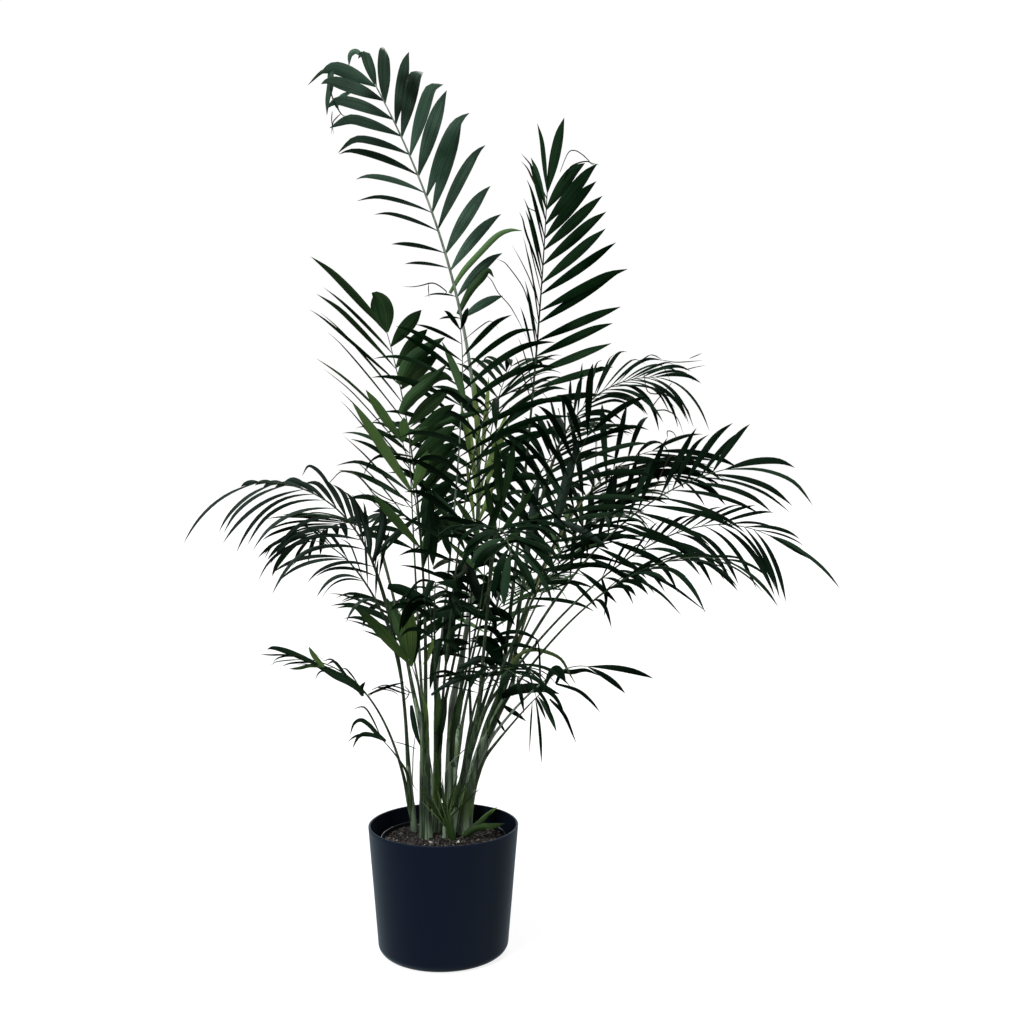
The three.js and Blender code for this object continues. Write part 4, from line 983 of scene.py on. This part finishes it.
# ---- soil ----
SOIL_RADIUS = 98.0
SOIL_RINGS = 40
SOIL_SPOKES = 120
SOIL_SINK = 1.2
SOIL_SEED = 5
# The length and the height of each scale of waves.
SOIL_WAVES = [(60, 0.72), (22, 0.405), (9, 0.225)]
WAVES_EACH = 5
CRUMB_REACH = 0.985
CRUMB_SINK = 0.8
CRUMB_LIFT = (-1.0, 1.6)
CRUMBS = 4200
CHIPS = 520
PERLITE = 14
LARGE_GRAINS = [(-20, -15, 8), (24, -15, 7)]
CORNERS = np.array([(x, y, z) for x in (-1, 1) for y in (-1, 1) for z in (-1, 1)], dtype=float)
BOX_FACES = np.array([(0, 1, 3, 2), (4, 6, 7, 5), (0, 4, 5, 1), (2, 3, 7, 6), (0, 2, 6, 4),
                      (1, 5, 7, 3)])


def soil_bed(random):
    """Uneven potting soil: waves at three scales over a flat bed."""
    radii = SOIL_RADIUS * np.sqrt(np.linspace(0.0002, 1, SOIL_RINGS))[:, None]
    turns = round_turn(SOIL_SPOKES)
    x = radii * np.cos(turns)
    y = radii * np.sin(turns)
    height = np.zeros_like(x)
    for reach, size in SOIL_WAVES:
        for _ in range(WAVES_EACH):
            heading, phase = random.uniform(0, 2 * np.pi, 2)
            wave = (x * math.cos(heading) + y * math.sin(heading)) * 2 * np.pi / reach
            height += size * np.sin(wave + phase)
    grid = np.stack((x, y, SOIL_TOP - SOIL_SINK + height), axis=-1)
    surface = Surface()
    surface.add_grids(grid[None], closed=True)
    return surface


def crumbs(count, size, random, clear=0.0, chosen=()):
    """Lumps strewn over the soil, each a rough box stretched and turned its own way."""
    radius = SOIL_RADIUS * CRUMB_REACH * np.sqrt(random.uniform(clear, 1, count))
    turn = random.uniform(0, 2 * np.pi, count)
    centre = np.stack((radius * np.cos(turn), radius * np.sin(turn),
                       SOIL_TOP - CRUMB_SINK + random.uniform(*CRUMB_LIFT, count)), axis=-1)
    scale = random.uniform(*size, (count, 1, 1)) * random.uniform(0.5, 1, (count, 1, 3))
    for index, (x, y, span) in enumerate(chosen):
        centre[index] = (x, y, SOIL_TOP + 1)
        scale[index] = (span, 0.8 * span, 0.6 * span)
    shape = CORNERS * random.uniform(0.6, 1, (count, 8, 1)) * scale / 2
    axes = unit(random.normal(size=(count, 3)))[:, None]
    shape = turned_about(shape, np.broadcast_to(axes, shape.shape),
                         random.uniform(0, 2 * np.pi, (count, 1)))
    points = (shape + centre[:, None]).reshape(-1, 3)
    faces = (BOX_FACES + 8 * np.arange(count)[:, None, None]).reshape(-1, 4)
    surface = Surface()
    surface.add(points, faces, np.zeros((len(points), 2)))
    return surface


# ---- colours, as linear light ----
POT_NAVY = (0.0010, 0.0042, 0.0150)
POT_WORN = (0.0042, 0.0090, 0.0205)
# Painted shade: a darker navy for the cover pot's inner wall, for the shade inside the pot.
POT_PAINTED_SHADE = (0.0008, 0.0028, 0.0080)
POT_HAZE = 0.31
GROWER_DARK = (0.004, 0.005, 0.007)
GROWER_WORN = (0.010, 0.012, 0.016)
RIM_PALE = (0.15, 0.155, 0.165)
SOIL_DARK = (0.0022, 0.0019, 0.0022)
SOIL_LIGHT = (0.118, 0.100, 0.092)
CHIP_DARK = (0.075, 0.062, 0.055)
CHIP_LIGHT = (0.30, 0.255, 0.22)
PERLITE_WHITE = (0.62, 0.6, 0.55)
CANE_LIGHT = (0.345, 0.465, 0.310)
CANE_DARK = (0.0030, 0.0110, 0.0045)
CANE_FRESH = (0.105, 0.175, 0.035)
HAZE_TINT = (0.66, 0.88, 1.0, 1.0)
# Leaflets: the light green, the dark, the tint of some blades, the roughness and the shine.
LEAF_GREENS = {
    "deep": ((0.022, 0.046, 0.024), (0.0006, 0.006, 0.0014), (0.008, 0.0215, 0.01), 0.45, 0.01),
    "dark": ((0.0135, 0.031, 0.017), (0.0002, 0.0028, 0.0006), (0.004, 0.0125, 0.0052), 0.42, 0.01),
    "bright": ((0.033, 0.079, 0.036), (0.0006, 0.0085, 0.0018), (0.0105, 0.033, 0.013), 0.42, 0.01),
    "blue": ((0.175, 0.315, 0.225), (0.001, 0.011, 0.0035), (0.042, 0.108, 0.062), 0.33, 0.1),
    "slate": ((0.054, 0.082, 0.066), (0.0006, 0.004, 0.0014), (0.015, 0.029, 0.022), 0.38, 0.03),
    "mid": ((0.1, 0.185, 0.07), (0.002, 0.0135, 0.0028), (0.032, 0.08, 0.029), 0.42, 0.04),
    "fresh": ((0.128, 0.225, 0.066), (0.024, 0.064, 0.015), (0.056, 0.118, 0.03), 0.44, 0.1),
    "olive": ((0.17, 0.28, 0.068), (0.004, 0.02, 0.004), (0.052, 0.12, 0.028), 0.42, 0.1),
    "young": ((0.08, 0.14, 0.04), (0.006, 0.018, 0.0035), (0.026, 0.058, 0.013), 0.42, 0.1),
    "wisp": ((0.08, 0.095, 0.06), (0.02, 0.026, 0.018), (0.04, 0.05, 0.034), 0.6, 0.05),
    "pale": ((0.3, 0.36, 0.26), (0.12, 0.16, 0.1), (0.2, 0.25, 0.17), 0.5, 0.08),
    "straw": ((0.15, 0.21, 0.07), (0.05, 0.08, 0.022), (0.095, 0.14, 0.045), 0.5, 0.08),
    "dry": ((0.13, 0.085, 0.05), (0.022, 0.015, 0.01), (0.06, 0.045, 0.028), 0.7, 0.05),
    "lime": ((0.4, 0.52, 0.17), (0.16, 0.26, 0.07), (0.28, 0.42, 0.12), 0.46, 0.1),
}
FRESH_KINDS = ("fresh", "lime", "young")
# Stalks: the light colour, the dark and the roughness.
STALKS = {
    "green": ((0.09, 0.13, 0.065), (0.01, 0.022, 0.011), 0.42),
    "pale": ((0.42, 0.48, 0.4), (0.11, 0.15, 0.11), 0.4),
    "straw": ((0.3, 0.29, 0.13), (0.09, 0.1, 0.04), 0.4),
}


# ---- the plant ----
def build_canes(random):
    surface = Surface()
    for name, (x, y), bend, fork, radii in STEMS:
        bow = Bow((x, y, SOIL_TOP - STEM_SINK), bend, fork, LIMB_FACES, 0.5)
        limbs[name] = (bow, radii)
        cane(surface, bow, radii, random)
    material = cane_material("sheath", CANE_LIGHT, CANE_DARK, CANE_FRESH)
    surface.make("canes", material, "stem", [stem[0] for stem in STEMS])


def build_arms(surface):
    for name, on, at, bend, tip in ARMS:
        start = seat(on, at, bend, ARM_RADII[0])
        bow = Bow(start, bend, tip, LIMB_FACES, 0.5)
        limbs[name] = (bow, ARM_RADII)
        path = stalk_path(bow, on, at, ARM_RINGS, ARM_SHEATH_GAP, ARM_RADII)
        stalk(surface, path, LIMB_FACES)


def frond_stalk(surface, leaf):
    """The rib of one frond, and the curve that its blades follow."""
    on, at = leaf["on"], leaf["at"]
    start = seat(on, at, leaf["elbow"], RIB_ROOT_RADIUS)
    bow = Bow(start, leaf["elbow"], leaf["tip"], leaf["faces"], mix(leaf["bare"], 1, 0.5))
    root_radius = min(RIB_ROOT_RADIUS * leaf["rib"], mix(*limbs[on][1], at))
    radii = (root_radius, RIB_TIP_RADIUS * STALK_END * leaf["rib"])
    rings = max(16, int(bow.length / STALK_STEP))
    stalk(surface, stalk_path(bow, on, at, rings, SHEATH_GAP, radii), bow.at(0)[2][0])
    return bow


def build_fronds():
    stalk_surfaces = {kind: Surface() for kind in STALKS}
    leaf_surfaces = {kind: Surface() for kind in LEAF_GREENS}
    build_arms(stalk_surfaces["green"])
    for index, leaf in enumerate(FRONDS):
        random = np.random.default_rng((FROND_SEED, index))
        bow = frond_stalk(stalk_surfaces[leaf["stalk"]], leaf)
        living, dry = frond_blades(leaf, bow, random)
        leaf_surfaces[leaf["green"]].add_grids(living)
        if len(dry):
            leaf_surfaces["dry"].add_grids(dry)
    for look, grids in strands().items():
        leaf_surfaces[look].add_grids(np.array(grids))
    for kind, look in STALKS.items():
        material = stalk_material("stalk_" + kind, *look)
        carried = [arm[0] for arm in ARMS] if kind == "green" else []
        stalk_surfaces[kind].make("stalks_" + kind, material, "stem", carried)
    for kind, look in LEAF_GREENS.items():
        material = leaf_material("leaf_" + kind, *look)
        slot = "fresh_leaf" if kind in FRESH_KINDS else "leaf"
        carried = [leaf["name"] for leaf in FRONDS if leaf["green"] == kind]
        leaf_surfaces[kind].make("leaflets_" + kind, material, slot, carried)


def build_pots():
    navy = plastic_material("navy_plastic", POT_NAVY, POT_WORN, 0.5, 900.0, 0.0002, POT_HAZE)
    # The inner wall gets a darker copy of the navy: painted shade inside the pot.
    shade = plastic_material("navy_inside_painted_shade", POT_PAINTED_SHADE, POT_PAINTED_SHADE, 0.7, 900.0, 0.0002)
    grey = plastic_material("grower_plastic", GROWER_DARK, GROWER_WORN, 0.5, 500.0, 0.0003)
    turned_surface(pot_outer()).make("pot_body", navy, "pot", ["cover_pot"])
    turned_surface(pot_inner()).make("pot_inside", shade, "pot", [])
    turned_surface(grower_outline()).make("nursery_pot", grey, "grower_pot", ["grower_pot"])


RIM_ARCS = [(150, 190), (17, 33), (205, 216)]
RIM_ARC_RINGS = 24
RIM_ARC_RADIUS = 0.9


def build_pale_rim_arcs():
    """Pale stretches along the grower pot's rim."""
    surface = Surface()
    for start, end in RIM_ARCS:
        turns = np.radians(np.linspace(start, end, RIM_ARC_RINGS))
        outward = np.stack((np.cos(turns), np.sin(turns), np.zeros(RIM_ARC_RINGS)), axis=-1)
        points = outward * (GROWER_RIM_RADIUS - GROWER_LIP)
        points[:, 2] = GROWER_TOP - 0.5
        upper = np.tile((0.0, 0.0, 1.0), (RIM_ARC_RINGS, 1))
        surface.add_tube(points, upper, outward, np.full((RIM_ARC_RINGS, 6), RIM_ARC_RADIUS))
    pale_rim = plastic_material("pale_rim_plastic", RIM_PALE, GROWER_WORN, 0.6, 500.0, 0.0003)
    surface.make("pale_rim_arcs", pale_rim, "grower_pot", [])


def build_soil(random):
    earth = soil_material("earth", SOIL_LIGHT, SOIL_DARK)
    bark = soil_material("bark_chips", CHIP_LIGHT, CHIP_DARK)
    white = soil_material("perlite", PERLITE_WHITE, scaled(PERLITE_WHITE, 0.6))
    soil_bed(random).make("soil_bed", earth, "soil", ["soil"])
    crumbs(CRUMBS, (1.8, 5.6), random).make("soil_crumbs", earth, "soil", [], False)
    crumbs(CHIPS, (2.0, 4.6), random).make("bark_chips", bark, "soil", [], False)
    grains = crumbs(PERLITE, (2.4, 5.0), random, 0.1, LARGE_GRAINS)
    grains.make("perlite", white, "soil", [], False)


# ---- floor, lights and camera ----
FLOOR_REACH = 150.0
WHITE = (1, 1, 1, 1)
FLOOR_WHITE = (0.3, 0.3, 0.3)
FLOOR_GLOW = 0.8
BACKDROP_RADIUS = 120.0
BACKDROP_GLOW = 1.02
SKY_LEVEL = 0.34
ZENITH_LEVEL = 0.6
# The name, the way it shines, the power, the softness in degrees and the colour.
LIGHTS = [
    ("key", (0.62, 0.75, -1.0), 2.6, 14, (0.96, 1.0, 1.0)),
    ("fill", (-0.9, 0.5, -0.5), 0.6, 40, (1.0, 0.98, 0.95)),
    ("back", (-0.3, -1.0, -0.9), 1.1, 30, (1.0, 1.0, 1.0)),
]


def build_stage(name, mesh, material):
    """A white surround, which is seen and throws no light back on the plant."""
    mesh.materials.append(material)
    stage = placed(name, mesh)
    stage.visible_diffuse = False
    stage.visible_glossy = False
    stage.visible_transmission = False
    stage.visible_shadow = False


def glowing_white(name, roughness, strength):
    """A shader that gives off plain white light."""
    shader = Shader(name)
    shader.set(shader.surface, Roughness=roughness, Specular_IOR_Level=0.0,
               Emission_Color=WHITE, Emission_Strength=strength)
    return shader


def build_floor():
    """A plain white floor, softly lit through, on which a faint shadow falls."""
    corners = [(-1, -1), (1, -1), (1, 1), (-1, 1)]
    mesh = bpy.data.meshes.new("floor")
    mesh.from_pydata([(x * FLOOR_REACH, y * FLOOR_REACH, 0) for x, y in corners], [], [(0, 1, 2, 3)])
    shader = glowing_white("floor_paint", 0.9, FLOOR_GLOW)
    drift = shader.noise(shader.place(), 2.0, 2.0)
    tone = shader.over(FLOOR_WHITE, scaled(FLOOR_WHITE, 0.98), drift, 0.3, 0.7)
    shader.set(shader.surface, Base_Color=tone)
    build_stage("floor", mesh, shader.material)


def build_backdrop():
    """A white shell round the stage."""
    mesh = bpy.data.meshes.new("backdrop")
    shell = bmesh.new()
    bmesh.ops.create_uvsphere(shell, u_segments=48, v_segments=24, radius=BACKDROP_RADIUS)
    shell.to_mesh(mesh)
    shell.free()
    shader = glowing_white("backdrop_paint", 1.0, BACKDROP_GLOW)
    shader.set(shader.surface, Base_Color=(0, 0, 0, 1))
    build_stage("backdrop", mesh, shader.material)


def build_sun(name, aim, power, softness, colour):
    light = bpy.data.lights.new(name, "SUN")
    light.energy = power
    light.angle = math.radians(softness)
    light.color = colour
    direction = unit(aim)
    heading = math.atan2(direction[1], direction[0]) - math.pi / 2
    placed(name, light).rotation_euler = (math.acos(-direction[2]), 0, heading)


def build_world():
    """A dim even studio, brighter overhead."""
    world = bpy.data.worlds.new("studio")
    bpy.context.scene.world = world
    world.use_nodes = True
    nodes = world.node_tree.nodes
    links = world.node_tree.links
    place = nodes.new("ShaderNodeTexCoord")
    split = nodes.new("ShaderNodeSeparateXYZ")
    links.new(place.outputs["Generated"], split.inputs[0])
    fade = nodes.new("ShaderNodeMapRange")
    for key, value in (("From Min", 0.1), ("From Max", 0.95), ("To Min", SKY_LEVEL),
                       ("To Max", ZENITH_LEVEL)):
        fade.inputs[key].default_value = value
    links.new(split.outputs["Z"], fade.inputs["Value"])
    background = nodes["Background"]
    background.inputs["Color"].default_value = WHITE
    links.new(fade.outputs["Result"], background.inputs["Strength"])


def build_camera():
    camera = bpy.data.cameras.new("camera")
    camera.lens = CAMERA_LENS
    camera.sensor_width = CAMERA_SENSOR
    eye = placed("camera", camera)
    eye.location = CAMERA_PLACE
    eye.rotation_euler = (math.radians(90 - CAMERA_PITCH_DOWN), 0, 0)
    bpy.context.scene.camera = eye


build_camera()
bpy.context.scene.view_settings.view_transform = "Standard"
build_world()
build_floor()
build_backdrop()
for light_settings in LIGHTS:
    build_sun(*light_settings)

build_pots()
build_pale_rim_arcs()
build_soil(np.random.default_rng(SOIL_SEED))
build_canes(np.random.default_rng(CANE_SEED))
build_fronds()
